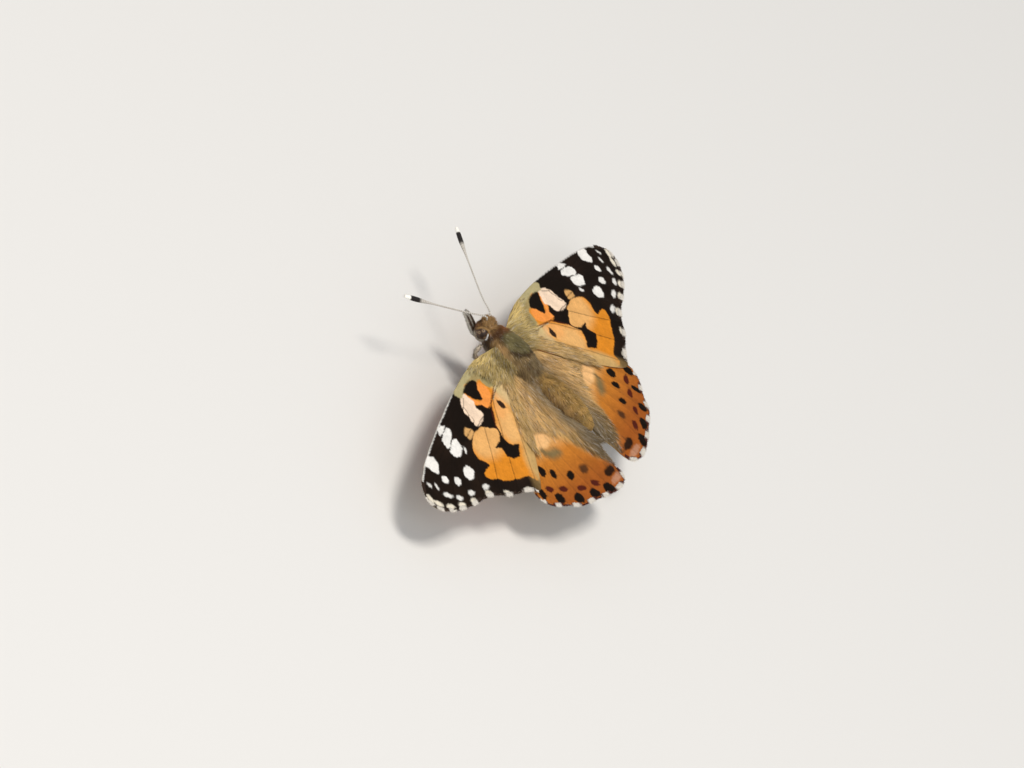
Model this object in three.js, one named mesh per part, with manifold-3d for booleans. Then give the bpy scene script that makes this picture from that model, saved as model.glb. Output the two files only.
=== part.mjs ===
// Painted lady butterfly at life size, basking with its wings spread flat.
// Millimetres. The head faces +Y, the animal's right side is +X and it stands on z = 0.
//
// Places on the animal are given as three sizes: x, out from the midline; t, towards the
// tail from the front of the wing bases; and z, above the level of the wing bases.

import * as THREE from 'three';
import * as BufferGeometryUtils from 'three/addons/utils/BufferGeometryUtils.js';
import Module from 'manifold-3d';

const wasm = await Module();
wasm.setup();

// Driving dimensions
const GAP = 0.3;                // clearance between pieces that touch
const ROOT_GAP = 0.36;          // clearance between a wing's root and the thorax
const WING_LEVEL = 7.4;         // height of the wing bases above the floor
const WING_THICKNESS = 0.5;
const VEIN_RISE = 0.15;         // how far a vein's crest stands above the membrane
const VEIN_HALF_WIDTH = 0.22;
const VEIN_END_WIDTH = 0.8;     // a vein's width at the margin, as a share of its full width
const VEIN_END_RISE = 0.7;      // and its rise there
const RING_STEP = 2.2;          // spacing of the points along the veins and the margin
const VEIN_STEP = 2.4;
const MARGIN_STEP = 1.2;
const TAIL_SLOPE = 0.05;        // how fast the wings sink towards the tail
const DROOP = 0.00096;          // how fast they sink towards their tips, per mm squared
const HINDWING_DROP = 0.95;     // how far the hindwing lies under the forewing
const HINDWING_CUP = 1.15;      // how far it rises again behind the forewing

const THORAX_FRONT = -0.75;
const THORAX_REAR = 6.3;
const ABDOMEN_TIP = 14.6;
const HEAD_T = -1.9;
const HEAD_Z = -0.33;
const HEAD_SIZE = { x: 1.3, t: 1.02, z: 1.4 };
const HEAD_SQUARENESS = 3;      // 2 is a plain ellipsoid
const EYE_SIZE = { x: 0.6, t: 0.78, z: 0.95 };
const EYE_SEAT = 0.9;           // distance of an eye's flat back from the midline

const COLOURS = {
  fur: 0x6b5a35,
  headFur: 0x7a5a33,
  wing: 0xd98a3c,
  hindwing: 0xc8752c,
  eye: 0x4a3a28,
  palp: 0xa59a88,
  feeler: 0x6f6a62,
  leg: 0x9a8f7c,
};

// General helpers

const lerp = (a, b, s) => a + (b - a) * s;

const smoothstep = (low, high, v) => {
  const s = Math.min(1, Math.max(0, (v - low) / (high - low)));
  return s * s * (3 - 2 * s);
};

// A place on the right side of the animal as a point in space
const place = (x, t, z) => new THREE.Vector3(x, -t, WING_LEVEL + z);

// Reads a value from a table of stations that is sorted by its first column
function between(stations, t, column) {
  const last = stations.length - 1;
  if (t <= stations[0][0]) return stations[0][column];
  if (t >= stations[last][0]) return stations[last][column];
  const i = stations.findIndex((station) => station[0] > t) - 1;
  const share = (t - stations[i][0]) / (stations[i + 1][0] - stations[i][0]);
  return lerp(stations[i][column], stations[i + 1][column], share);
}

function closedGeometry(points, triangles) {
  const geometry = new THREE.BufferGeometry();
  const numbers = points.flatMap((p) => [p.x, p.y, p.z]);
  geometry.setAttribute('position', new THREE.Float32BufferAttribute(numbers, 3));
  geometry.setIndex(triangles.flat());
  return geometry;
}

// Skins a row of rings that have the same number of points, and closes both ends
function skinRings(rings) {
  const sides = rings[0].length;
  const points = rings.flat();
  const triangles = [];
  for (let i = 0; i + 1 < rings.length; i += 1) {
    for (let k = 0; k < sides; k += 1) {
      const a = i * sides + k;
      const b = i * sides + ((k + 1) % sides);
      triangles.push([a, b, b + sides], [a, b + sides, a + sides]);
    }
  }
  const ends = [[0, -1], [(rings.length - 1) * sides, 1]];
  for (const [start, turn] of ends) {
    const middle = new THREE.Vector3();
    for (let k = 0; k < sides; k += 1) middle.addScaledVector(points[start + k], 1 / sides);
    points.push(middle);
    for (let k = 0; k < sides; k += 1) {
      const a = start + k;
      const b = start + ((k + 1) % sides);
      triangles.push(turn > 0 ? [points.length - 1, a, b] : [points.length - 1, b, a]);
    }
  }
  return closedGeometry(points, triangles);
}

// A trunk of elliptic sections across the body. Each station holds t, half width,
// half height and z, and the trunk runs from head to tail.
function trunk(stations, sides) {
  const rings = stations.map(([t, halfWidth, halfHeight, z]) => {
    const ring = [];
    for (let k = 0; k < sides; k += 1) {
      const angle = (2 * Math.PI * k) / sides;
      ring.push(place(halfWidth * Math.cos(angle), t, z + halfHeight * Math.sin(angle)));
    }
    return ring;
  });
  return skinRings(rings);
}

// A round limb along a curve, with a radius for each share of its length. floor keeps
// every point at or above that height, which gives a foot its flat.
function limb(curve, radii, sides, steps, floor = -Infinity) {
  const frames = curve.computeFrenetFrames(steps);
  const table = radii.map((radius, i) => [i / (radii.length - 1), radius]);
  const rings = [];
  for (let i = 0; i <= steps; i += 1) {
    const centre = curve.getPointAt(i / steps);
    const radius = between(table, i / steps, 1);
    const ring = [];
    for (let k = 0; k < sides; k += 1) {
      const angle = (2 * Math.PI * k) / sides;
      const point = centre.clone();
      point.addScaledVector(frames.normals[i], radius * Math.cos(angle));
      point.addScaledVector(frames.binormals[i], radius * Math.sin(angle));
      point.z = Math.max(point.z, floor);
      ring.push(point);
    }
    rings.push(ring);
  }
  return skinRings(rings);
}

// Slides the points of one end ring along the limb onto a plane, so that two limbs meet
// face to face across a bend
function mitre(geometry, ring, sides, direction, point, normal) {
  const position = geometry.getAttribute('position');
  const vertex = new THREE.Vector3();
  for (let k = 0; k < sides; k += 1) {
    vertex.fromBufferAttribute(position, ring * sides + k);
    const distance = point.clone().sub(vertex).dot(normal) / direction.dot(normal);
    vertex.addScaledVector(direction, distance);
    position.setXYZ(ring * sides + k, vertex.x, vertex.y, vertex.z);
  }
}

function toManifold(geometry) {
  const bare = geometry.clone();
  bare.deleteAttribute('normal');
  bare.deleteAttribute('uv');
  const merged = BufferGeometryUtils.mergeVertices(bare, 1e-5);
  return new wasm.Manifold(new wasm.Mesh({
    numProp: 3,
    vertProperties: new Float32Array(merged.getAttribute('position').array),
    triVerts: new Uint32Array(merged.getIndex().array),
  }));
}

// Back to a geometry, keeping only the largest closed surface
function fromManifold(solid) {
  const pieces = solid.decompose();
  const size = (piece) => Math.abs(piece.volume());
  const largest = pieces.reduce((best, piece) => (size(piece) > size(best) ? piece : best));
  const mesh = largest.getMesh();
  const geometry = new THREE.BufferGeometry();
  geometry.setAttribute('position', new THREE.BufferAttribute(mesh.vertProperties, 3));
  geometry.setIndex(new THREE.BufferAttribute(mesh.triVerts, 1));
  return geometry;
}

// Mirrors a geometry of the right side to the left side
function mirrored(geometry) {
  const copy = geometry.clone();
  copy.scale(-1, 1, 1);
  const index = copy.getIndex();
  for (let i = 0; i < index.count; i += 3) {
    const first = index.getX(i);
    index.setX(i, index.getX(i + 1));
    index.setX(i + 1, first);
  }
  return copy;
}

const model = new THREE.Group();
model.name = 'painted_lady';

function addMesh(name, geometry, color, roughness = 0.8) {
  const material = new THREE.MeshStandardMaterial({ color, roughness, metalness: 0 });
  const mesh = new THREE.Mesh(geometry, material);
  mesh.name = name;
  model.add(mesh);
}

function addPair(name, geometry, color, roughness) {
  addMesh(`${name}_right`, geometry, color, roughness);
  addMesh(`${name}_left`, mirrored(geometry), color, roughness);
}

// Thorax: a furred dome between the wings. Columns: t, half width, half height, z.
const THORAX = [
  [THORAX_FRONT, 1.05, 1.05, -0.35],
  [-0.45, 1.35, 1.32, -0.37],
  [0.3, 1.75, 1.7, -0.4],
  [1.4, 2.02, 1.98, -0.43],
  [2.6, 2.15, 2.12, -0.45],
  [3.8, 2.02, 2.0, -0.47],
  [4.9, 1.75, 1.72, -0.5],
  [5.8, 1.45, 1.45, -0.5],
  [THORAX_REAR, 1.2, 1.2, -0.5],
];
addMesh('thorax', trunk(THORAX, 22), COLOURS.fur, 0.95);

// Distance from the midline at which a piece that meets the thorax's side begins
const THORAX_SIDE = 2.2;
function besideThorax(t, z) {
  const rise = (z - between(THORAX, t, 3)) / between(THORAX, t, 2);
  return between(THORAX, t, 1) * Math.sqrt(Math.max(0, 1 - rise * rise)) + ROOT_GAP;
}

// Abdomen: furred, fullest in front of its middle, with shallow rings
const ABDOMEN_RINGS = 7;
const RING_CREST = 1.03;
const RING_GROOVE = 0.99;
const ABDOMEN = [
  [THORAX_REAR + GAP, 1.15, 1.15, -0.5],
  [7.4, 1.48, 1.45, -0.46],
  [9.0, 1.57, 1.55, -0.4],
  [10.6, 1.5, 1.5, -0.36],
  [12.0, 1.28, 1.3, -0.4],
  [13.2, 0.95, 1.0, -0.55],
  [14.1, 0.6, 0.65, -0.75],
  [ABDOMEN_TIP, 0.3, 0.32, -0.88],
];
function abdomenStations() {
  const stations = [];
  const start = ABDOMEN[0][0];
  const steps = ABDOMEN_RINGS * 2;
  for (let i = 0; i <= steps; i += 1) {
    const t = lerp(start, ABDOMEN_TIP, i / steps);
    const swell = i % 2 === 1 ? RING_CREST : RING_GROOVE;
    const [width, height, z] = [1, 2, 3].map((column) => between(ABDOMEN, t, column));
    stations.push([t, width * swell, height * swell, z]);
  }
  return stations;
}
addMesh('abdomen', trunk(abdomenStations(), 18), COLOURS.fur, 0.95);

// Head: a furred oval with a round seat for each eye, and a flat nape that meets the thorax
const NAPE_T = THORAX_FRONT - GAP;
function ellipsoid(size, centre, sidesRound, sidesDown, squareness = 2) {
  const geometry = new THREE.SphereGeometry(1, sidesRound, sidesDown);
  const position = geometry.getAttribute('position');
  const vertex = new THREE.Vector3();
  for (let i = 0; i < position.count; i += 1) {
    vertex.fromBufferAttribute(position, i);
    const powers = vertex.toArray().map((v) => Math.abs(v) ** squareness);
    const stretch = (powers[0] + powers[1] + powers[2]) ** (-1 / squareness);
    vertex.multiplyScalar(stretch);
    position.setXYZ(i, vertex.x, vertex.y, vertex.z);
  }
  geometry.scale(size.x, size.t, size.z);
  geometry.translate(centre.x, centre.y, centre.z);
  return toManifold(geometry);
}
function block(low, high) {
  const size = high.clone().sub(low);
  const geometry = new THREE.BoxGeometry(size.x, size.y, size.z);
  const centre = low.clone().add(high).multiplyScalar(0.5);
  geometry.translate(centre.x, centre.y, centre.z);
  return toManifold(geometry);
}
function eyeSeat(side) {
  const depth = 2;
  const seat = new THREE.CylinderGeometry(1, 1, depth, 20);
  seat.rotateZ(Math.PI / 2);
  seat.scale(1, EYE_SIZE.t + GAP, EYE_SIZE.z + GAP);
  const centre = place(side * (EYE_SEAT - GAP + depth / 2), HEAD_T, HEAD_Z);
  seat.translate(centre.x, centre.y, centre.z);
  return toManifold(seat);
}
function headSolid() {
  const far = 5;
  let head = ellipsoid(HEAD_SIZE, place(0, HEAD_T, HEAD_Z), 20, 14, HEAD_SQUARENESS);
  head = head.subtract(eyeSeat(1)).subtract(eyeSeat(-1));
  const behind = block(place(-far, NAPE_T + far, HEAD_Z - far), place(far, NAPE_T, HEAD_Z + far));
  return head.subtract(behind);
}
addMesh('head', fromManifold(headSolid()), COLOURS.headFur, 0.95);

// Eyes: domes whose flat backs face their seats
function eyeSolid() {
  const far = 5;
  const ball = ellipsoid(EYE_SIZE, place(EYE_SEAT, HEAD_T, HEAD_Z), 16, 10);
  const low = place(-far, HEAD_T + far, HEAD_Z - far);
  const high = place(EYE_SEAT, HEAD_T - far, HEAD_Z + far);
  return ball.subtract(block(low, high));
}
addPair('eye', fromManifold(eyeSolid()), COLOURS.eye, 0.3);

// Palps: two pointed, scaled feelers held out in front of the face
const PALP_X = 0.42;
const palpCurve = new THREE.CatmullRomCurve3([
  place(PALP_X, -3.34, -1.04),
  place(PALP_X + 0.02, -3.62, -0.82),
  place(PALP_X + 0.01, -4.05, -0.58),
  place(PALP_X - 0.02, -4.62, -0.42),
]);
const PALP_RADII = [0.24, 0.27, 0.26, 0.2, 0.1];
addPair('palp', limb(palpCurve, PALP_RADII, 10, 8), COLOURS.palp);

// Feelers: each rises from the crown, bends forward and ends in a club
const feelerCurve = new THREE.CatmullRomCurve3([
  place(0.45, -2.35, 1.37),
  place(0.5, -2.43, 1.52),
  place(0.85, -2.85, 1.52),
  place(1.95, -4.0, 1.28),
  place(4.4, -6.35, 1.18),
  place(7.2, -9.05, 1.22),
  place(9.4, -11.2, 1.35),
]);
const FEELER_SHAFT = 0.25;
const FEELER_RADII = [0.27, ...new Array(7).fill(FEELER_SHAFT), 0.27, 0.34, 0.36, 0.2];
addPair('feeler', limb(feelerCurve, FEELER_RADII, 8, 22), COLOURS.feeler);

// Wings. Each is drawn in plan as x and t, with its margin running from the front of its
// root round its tip to the rear of its root. A ring of veins encloses the middle cell,
// and the other veins leave the ring for the margin, listed from front to rear.

const forewing = {
  rootFront: 0.45,
  rootRear: 2.5,
  margin: [
    [3.6, -0.05], [5.9, -0.5], [9.2, -0.7], [12.5, -0.6], [18.0, -0.1], [22.5, 0.55],
    [27.0, 1.3], [30.1, 2.05], [32.4, 3.1], [33.6, 4.6], [33.2, 6.0], [31.7, 7.2],
    [29.9, 8.0], [27.5, 8.75], [24.8, 9.4], [23.0, 10.3], [21.5, 11.3], [18.9, 12.3],
    [17.4, 13.1], [16.6, 13.7], [15.6, 13.35], [12.6, 11.3], [9.0, 8.3], [6.3, 5.9],
    [3.6, 3.4],
  ],
  cell: [
    [2.6, 0.9], [6.0, 0.62], [10.5, 0.55], [14.3, 0.75], [15.9, 1.5], [16.15, 2.8],
    [15.6, 4.0], [13.0, 3.75], [10.2, 3.5], [6.5, 2.75], [2.6, 1.9],
  ],
  veins: [
    { from: [4.2, 0.6], via: [[5.9, -0.05], [10.0, -0.28]], to: [14.2, -0.45] },
    { from: [12.4, 0.55], via: [[14.6, 0.12], [17.5, 0.3]], to: [20.5, 0.25] },
    { from: [14.6, 0.85], via: [[16.8, 0.95], [22.0, 1.3]], to: [28.0, 1.5] },
    { from: [15.8, 1.45], via: [[22.0, 2.15], [28.5, 3.15]], to: [33.4, 4.2] },
    { from: [16.15, 2.4], via: [[22.5, 3.1], [27.5, 5.1]], to: [31.2, 7.45] },
    { from: [16.1, 3.15], via: [[22.0, 4.1], [26.0, 6.2]], to: [28.9, 8.35] },
    { from: [15.8, 3.9], via: [[19.5, 4.4], [23.2, 6.9]], to: [25.7, 9.2] },
    { from: [14.6, 3.95], via: [[18.9, 7.3]], to: [22.9, 10.35] },
    { from: [10.2, 3.5], via: [[13.5, 6.2], [16.5, 8.8]], to: [20.0, 11.95] },
    { from: [4.4, 2.3], via: [[9.5, 6.4]], to: [16.9, 13.45] },
  ],
  termen: [3, 8],
  scallop: 0.18,
  top: (x, t) => -TAIL_SLOPE * t - DROOP * x * x,
};

// The hindwing lies under the forewing in front and cups up behind the forewing's rear edge.
// Its root hangs a little lower still.
const REAR_EDGE = { x: 2.5, t: 2.4, dx: 0.78, dt: 0.626 };
const CUP_START = 2;
const CUP_END = 9;
const ROOT_DROP = 0.3;
const ROOT_REACH = 1.5;
const hindwing = {
  rootFront: 2.95,
  rootRear: 4.9,
  margin: [
    [4.6, 3.0], [7.6, 4.2], [11.0, 6.4], [14.2, 9.4], [16.4, 12.0], [17.3, 13.9],
    [17.0, 15.0], [16.4, 15.8], [14.6, 16.95], [12.6, 18.4], [10.2, 19.15], [7.6, 20.0],
    [5.2, 20.55], [3.0, 20.55], [1.9, 20.1], [1.45, 19.0], [1.3, 17.6], [0.95, 16.2],
    [0.75, 15.2], [1.1, 14.2], [1.6, 12.8], [1.86, 11.2], [1.95, 9.4], [1.9, 7.6],
    [1.85, 6.2],
  ],
  cell: [
    [2.4, 3.45], [4.6, 4.45], [7.4, 6.5], [9.3, 8.2], [9.7, 9.3], [8.9, 10.3],
    [7.4, 9.7], [4.8, 6.9], [2.3, 4.4],
  ],
  veins: [
    { from: [3.3, 3.75], via: [[4.9, 3.6], [8.4, 5.3], [12.8, 8.8]], to: [16.9, 12.9] },
    { from: [6.0, 5.3], via: [[7.7, 5.7], [9.8, 7.3], [12.9, 10.15]], to: [17.25, 14.4] },
    { from: [9.5, 8.5], via: [[13.0, 11.6]], to: [16.6, 15.6] },
    { from: [9.7, 9.35], via: [[12.2, 12.9]], to: [14.4, 17.1] },
    { from: [9.1, 10.2], via: [[10.9, 14.2]], to: [12.1, 18.65] },
    { from: [8.0, 10.1], via: [[8.8, 14.6]], to: [9.3, 19.4] },
    { from: [5.6, 7.9], via: [[6.3, 13.8]], to: [6.1, 20.4] },
    { from: [3.4, 5.5], via: [[3.5, 9.0], [3.6, 14.5]], to: [3.0, 20.55] },
  ],
  termen: [1, 7],
  scallop: 0.3,
  top: (x, t) => {
    const behind = REAR_EDGE.dx * (t - REAR_EDGE.t) - REAR_EDGE.dt * (x - REAR_EDGE.x);
    const root = ROOT_DROP * Math.exp((REAR_EDGE.x - x) / ROOT_REACH) * (1 - smoothstep(4, 8, t));
    const cup = HINDWING_CUP * smoothstep(CUP_START, CUP_END, behind);
    return forewing.top(x, t) - HINDWING_DROP - root + cup;
  },
};

const planCurve = (points) => new THREE.CatmullRomCurve3(
  points.map(([x, t]) => new THREE.Vector3(x, t, 0)),
  false,
  'centripetal',
);

// Share of a curve's length at which it comes nearest to a point
function nearestShare(curve, [x, t]) {
  const samples = 1500;
  const target = new THREE.Vector3(x, t, 0);
  let best = 0;
  let distance = Infinity;
  for (let i = 0; i <= samples; i += 1) {
    const d = curve.getPointAt(i / samples).distanceTo(target);
    if (d < distance) {
      distance = d;
      best = i / samples;
    }
  }
  return best;
}

// The point of a curve at a share of its length, moved sideways towards its right side
function beside(curve, share, offset) {
  const point = curve.getPointAt(share);
  const tangent = curve.getTangentAt(share);
  return [point.x - tangent.y * offset, point.y + tangent.x * offset];
}

function wingGeometry(wing) {
  const vertices = [];
  const faces = [];
  const add = ([x, t], rise = 0) => vertices.push({ x, t, rise }) - 1;
  const atRoot = (t) => {
    const top = wing.top(THORAX_SIDE, t);
    return Math.max(besideThorax(t, top), besideThorax(t, top - WING_THICKNESS));
  };

  const fillStrip = (left, right) => {
    for (let i = 0; i + 1 < left.length; i += 1) {
      faces.push([left[i], right[i], right[i + 1]], [left[i], right[i + 1], left[i + 1]]);
    }
  };
  const fillCell = (outline) => {
    const contour = outline.map((i) => new THREE.Vector2(vertices[i].x, vertices[i].t));
    for (const face of THREE.ShapeUtils.triangulateShape(contour, [])) {
      faces.push(face.map((k) => outline[k]));
    }
  };

  const corners = [wing.rootFront, wing.rootRear].map((t) => [atRoot(t), t]);
  const marginCurve = planCurve([corners[0], ...wing.margin, corners[1]]);
  const cellCurve = planCurve(wing.cell);
  const marginLength = marginCurve.getLength();
  const cellLength = cellCurve.getLength();

  // The ring of veins round the middle cell, with three stations where a vein leaves it
  const spread = VEIN_HALF_WIDTH / cellLength;
  const clearing = 2.6 * spread;
  const leaves = wing.veins.map((vein) => nearestShare(cellCurve, vein.from));
  const stations = [];
  leaves.forEach((share, k) => {
    stations.push({ share: share - spread, side: -1, k });
    stations.push({ share, side: 0, k });
    stations.push({ share: share + spread, side: 1, k });
  });
  const fillers = Math.round(cellLength / RING_STEP);
  for (let i = 0; i <= fillers; i += 1) {
    const share = i / fillers;
    const crowded = leaves.some((leaf) => Math.abs(leaf - share) < clearing);
    if (i === 0 || i === fillers || !crowded) stations.push({ share });
  }
  stations.sort((a, b) => a.share - b.share);
  const ring = { outer: [], crest: [], inner: [] };
  const leaveAt = wing.veins.map(() => ({}));
  stations.forEach((station, i) => {
    const isRoot = i === 0 || i === stations.length - 1;
    const offsets = [-VEIN_HALF_WIDTH, 0, VEIN_HALF_WIDTH];
    const [outer, crest, inner] = offsets.map((offset) => {
      const [x, t] = beside(cellCurve, station.share, offset);
      return isRoot ? [atRoot(t), t] : [x, t];
    });
    ring.outer.push(add(outer, station.side === 0 ? VEIN_RISE : 0));
    ring.crest.push(add(crest, VEIN_RISE));
    ring.inner.push(add(inner));
    if (station.k !== undefined) leaveAt[station.k][station.side] = i;
  });
  fillStrip(ring.outer, ring.crest);
  fillStrip(ring.crest, ring.inner);
  fillCell(ring.inner);

  // The margin, with three points where a vein meets it and shallow scallops between veins
  const marginSpread = (VEIN_HALF_WIDTH * VEIN_END_WIDTH) / marginLength;
  const ends = wing.veins.map((vein) => nearestShare(marginCurve, vein.to));
  const margin = [];
  const meetAt = [];
  const runMargin = (from, to, depth, includeEnds) => {
    const steps = Math.max(1, Math.round(((to - from) * marginLength) / MARGIN_STEP));
    for (let i = 0; i <= steps; i += 1) {
      if (!includeEnds && (i === 0 || i === steps)) continue;
      const share = lerp(from, to, i / steps);
      const inward = depth * Math.sin((Math.PI * i) / steps);
      margin.push(add(beside(marginCurve, share, inward)));
    }
  };
  margin.push(add(corners[0]));
  let from = 0;
  ends.forEach((end, k) => {
    const scalloped = k > wing.termen[0] && k <= wing.termen[1];
    runMargin(from, end - marginSpread, scalloped ? wing.scallop : 0, false);
    meetAt.push(margin.length);
    for (const share of [end - marginSpread, end, end + marginSpread]) {
      margin.push(add(beside(marginCurve, share, 0)));
    }
    from = end + marginSpread;
  });
  runMargin(from, 1, 0, false);
  margin.push(add(corners[1]));

  // Veins from the ring to the margin
  const strips = wing.veins.map((vein, k) => {
    const leave = leaveAt[k];
    const start = vertices[ring.outer[leave[0]]];
    const finish = vertices[margin[meetAt[k] + 1]];
    const curve = planCurve([[start.x, start.t], ...vein.via, [finish.x, finish.t]]);
    const steps = Math.max(3, Math.round(curve.getLength() / VEIN_STEP));
    const strip = {
      front: [ring.outer[leave[-1]]],
      crest: [ring.outer[leave[0]]],
      rear: [ring.outer[leave[1]]],
    };
    for (let i = 1; i < steps; i += 1) {
      const share = i / steps;
      const half = VEIN_HALF_WIDTH * lerp(1, VEIN_END_WIDTH, share);
      strip.front.push(add(beside(curve, share, -half)));
      const rise = VEIN_RISE * lerp(1, VEIN_END_RISE, share);
      strip.crest.push(add(beside(curve, share, 0), rise));
      strip.rear.push(add(beside(curve, share, half)));
    }
    strip.front.push(margin[meetAt[k]]);
    strip.crest.push(margin[meetAt[k] + 1]);
    strip.rear.push(margin[meetAt[k] + 2]);
    fillStrip(strip.front, strip.crest);
    fillStrip(strip.crest, strip.rear);
    return strip;
  });

  // The membrane between each vein and the next, from the front edge to the rear edge
  for (let k = 0; k <= wing.veins.length; k += 1) {
    const before = k === 0 ? null : strips[k - 1];
    const after = k === wing.veins.length ? null : strips[k];
    const ringFrom = before ? leaveAt[k - 1][1] : 0;
    const ringTo = after ? leaveAt[k][-1] : ring.outer.length - 1;
    const marginFrom = before ? meetAt[k - 1] + 2 : 0;
    const marginTo = after ? meetAt[k] : margin.length - 1;
    const outline = ring.outer.slice(ringFrom, ringTo + 1);
    if (after) outline.push(...after.front.slice(1, -1));
    outline.push(...margin.slice(marginFrom, marginTo + 1).reverse());
    if (before) outline.push(...before.rear.slice(1, -1).reverse());
    fillCell(outline);
  }

  // Both faces have the same triangles, and a rim joins them
  const count = vertices.length;
  const upper = vertices.map(({ x, t, rise }) => place(x, t, wing.top(x, t) + rise));
  const lower = vertices.map(({ x, t }) => place(x, t, wing.top(x, t) - WING_THICKNESS));
  const triangles = [];
  for (const [a, b, c] of faces) {
    const [p, q, r] = [upper[a], upper[b], upper[c]];
    const turn = (q.x - p.x) * (r.y - p.y) - (q.y - p.y) * (r.x - p.x);
    const face = turn > 0 ? [a, b, c] : [a, c, b];
    triangles.push(face);
    triangles.push([face[0] + count, face[2] + count, face[1] + count]);
  }
  const last = ring.outer.length - 1;
  const rim = [
    ...margin,
    ring.outer[last], ring.crest[last], ring.inner[last],
    ring.inner[0], ring.crest[0], ring.outer[0],
  ];
  rim.forEach((a, i) => {
    const b = rim[(i + 1) % rim.length];
    triangles.push([a, b, b + count], [a, b + count, a + count]);
  });
  return closedGeometry([...upper, ...lower], triangles);
}

addPair('forewing', wingGeometry(forewing), COLOURS.wing);
addPair('hindwing', wingGeometry(hindwing), COLOURS.hindwing);

// Legs. The middle and hind pairs carry the animal: thigh, shin and a foot laid flat on
// the floor. The short front pair is folded against the breast.

const FOOT_RADIUS = 0.27;
const FOOT_CENTRE = 0.2;        // height of a foot's axis, less than its radius for a flat
const THIGH_RADII = [0.34, 0.4, 0.36, 0.28];
const SHIN_RADII = [0.28, 0.3, 0.27, FOOT_RADIUS];
const FOOT_RADII = [FOOT_RADIUS, 0.27, 0.26, 0.24];
const FORELEG_RADII = [0.27, 0.3, 0.27, 0.14];
const FORELEG_HIP = [0.75, 0.7];
const LEG_SIDES = 10;
const legs = {
  mid: {
    hip: [1.15, 1.9],
    knee: [4.9, 1.3, -2.15],
    ankle: [7.2, 1.6, FOOT_CENTRE - WING_LEVEL],
    toe: [10.9, 1.9, FOOT_CENTRE - WING_LEVEL],
  },
  hind: {
    hip: [0.6, 4.2],
    knee: [3.8, 7.0, -3.6],
    ankle: [5.6, 9.1, FOOT_CENTRE - WING_LEVEL],
    toe: [8.1, 11.9, FOOT_CENTRE - WING_LEVEL],
  },
};

// Where a leg leaves the underside of the thorax, and the direction straight out from it
function thoraxUnderside(x, t) {
  const reach = 0.5;
  const depthAt = (u, v) => {
    const across = u / between(THORAX, v, 1);
    return between(THORAX, v, 2) * Math.sqrt(1 - across * across) - between(THORAX, v, 3);
  };
  const slopeX = (depthAt(x + reach, t) - depthAt(x - reach, t)) / (2 * reach);
  const slopeT = (depthAt(x, t + reach) - depthAt(x, t - reach)) / (2 * reach);
  const normal = new THREE.Vector3(-slopeX, slopeT, -1).normalize();
  return { point: place(x, t, -depthAt(x, t)), normal };
}

function legSegment(from, to, radii, cutFrom, cutTo, floor) {
  const direction = to.clone().sub(from).normalize();
  const steps = 6;
  const curve = new THREE.LineCurve3(from, to);
  const geometry = limb(curve, radii, LEG_SIDES, steps, floor);
  const ends = [[0, cutFrom, 1], [steps, cutTo, -1]];
  for (const [ring, cut, sign] of ends) {
    if (!cut) continue;
    const point = cut.point.clone().addScaledVector(cut.normal, (sign * GAP) / 2);
    mitre(geometry, ring, LEG_SIDES, direction, point, cut.normal);
  }
  const refreshed = geometry.getAttribute('position');
  const centres = [[0, refreshed.count - 2], [steps, refreshed.count - 1]];
  for (const [ring, centre] of centres) {
    const middle = new THREE.Vector3();
    const vertex = new THREE.Vector3();
    for (let k = 0; k < LEG_SIDES; k += 1) {
      vertex.fromBufferAttribute(refreshed, ring * LEG_SIDES + k);
      middle.addScaledVector(vertex, 1 / LEG_SIDES);
    }
    refreshed.setXYZ(centre, middle.x, middle.y, middle.z);
  }
  return geometry;
}

for (const [name, leg] of Object.entries(legs)) {
  const hip = thoraxUnderside(...leg.hip);
  const [knee, ankle, toe] = [leg.knee, leg.ankle, leg.toe].map((p) => place(...p));
  const hipEnd = hip.point.clone().addScaledVector(hip.normal, GAP / 2);
  const bend = (before, joint, after) => ({
    point: joint,
    normal: joint.clone().sub(before).normalize()
      .add(after.clone().sub(joint).normalize())
      .normalize(),
  });
  const hipCut = { point: hipEnd, normal: hip.normal };
  const kneeCut = bend(hipEnd, knee, ankle);
  const ankleCut = bend(knee, ankle, toe);
  const thigh = legSegment(hipEnd, knee, THIGH_RADII, hipCut, kneeCut);
  const shin = legSegment(knee, ankle, SHIN_RADII, kneeCut, ankleCut);
  const foot = legSegment(ankle, toe, FOOT_RADII, ankleCut, null, 0);
  addPair(`${name}leg_thigh`, thigh, COLOURS.leg);
  addPair(`${name}leg_shin`, shin, COLOURS.leg);
  addPair(`${name}leg_foot`, foot, COLOURS.leg);
}

const frontHip = thoraxUnderside(...FORELEG_HIP);
const frontLegCurve = new THREE.CatmullRomCurve3([
  frontHip.point.clone().addScaledVector(frontHip.normal, GAP + 0.03),
  frontHip.point.clone().addScaledVector(frontHip.normal, GAP + 0.25),
  place(1.6, 0.05, -2.75),
  place(2.05, -0.5, -2.6),
  place(2.05, -0.8, -2.15),
  place(1.8, -0.9, -1.6),
]);
addPair('foreleg', limb(frontLegCurve, FORELEG_RADII, 8, 10), COLOURS.leg);

// The origin lies on the floor under the middle of the model
const box = new THREE.Box3().setFromObject(model);
const middle = box.getCenter(new THREE.Vector3());
model.position.set(-middle.x, -middle.y, -box.min.z);

export default model;
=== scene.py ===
"""A painted lady butterfly at life size, basking with its wings spread flat.

Places on the animal are given in millimetres as x, out from the midline, t, towards the
tail from the front of the wing bases, and z, above the level of the wing bases.
"""

import math

import bpy
import numpy as np
from mathutils import Matrix, Vector
from mathutils.geometry import delaunay_2d_cdt


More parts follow.
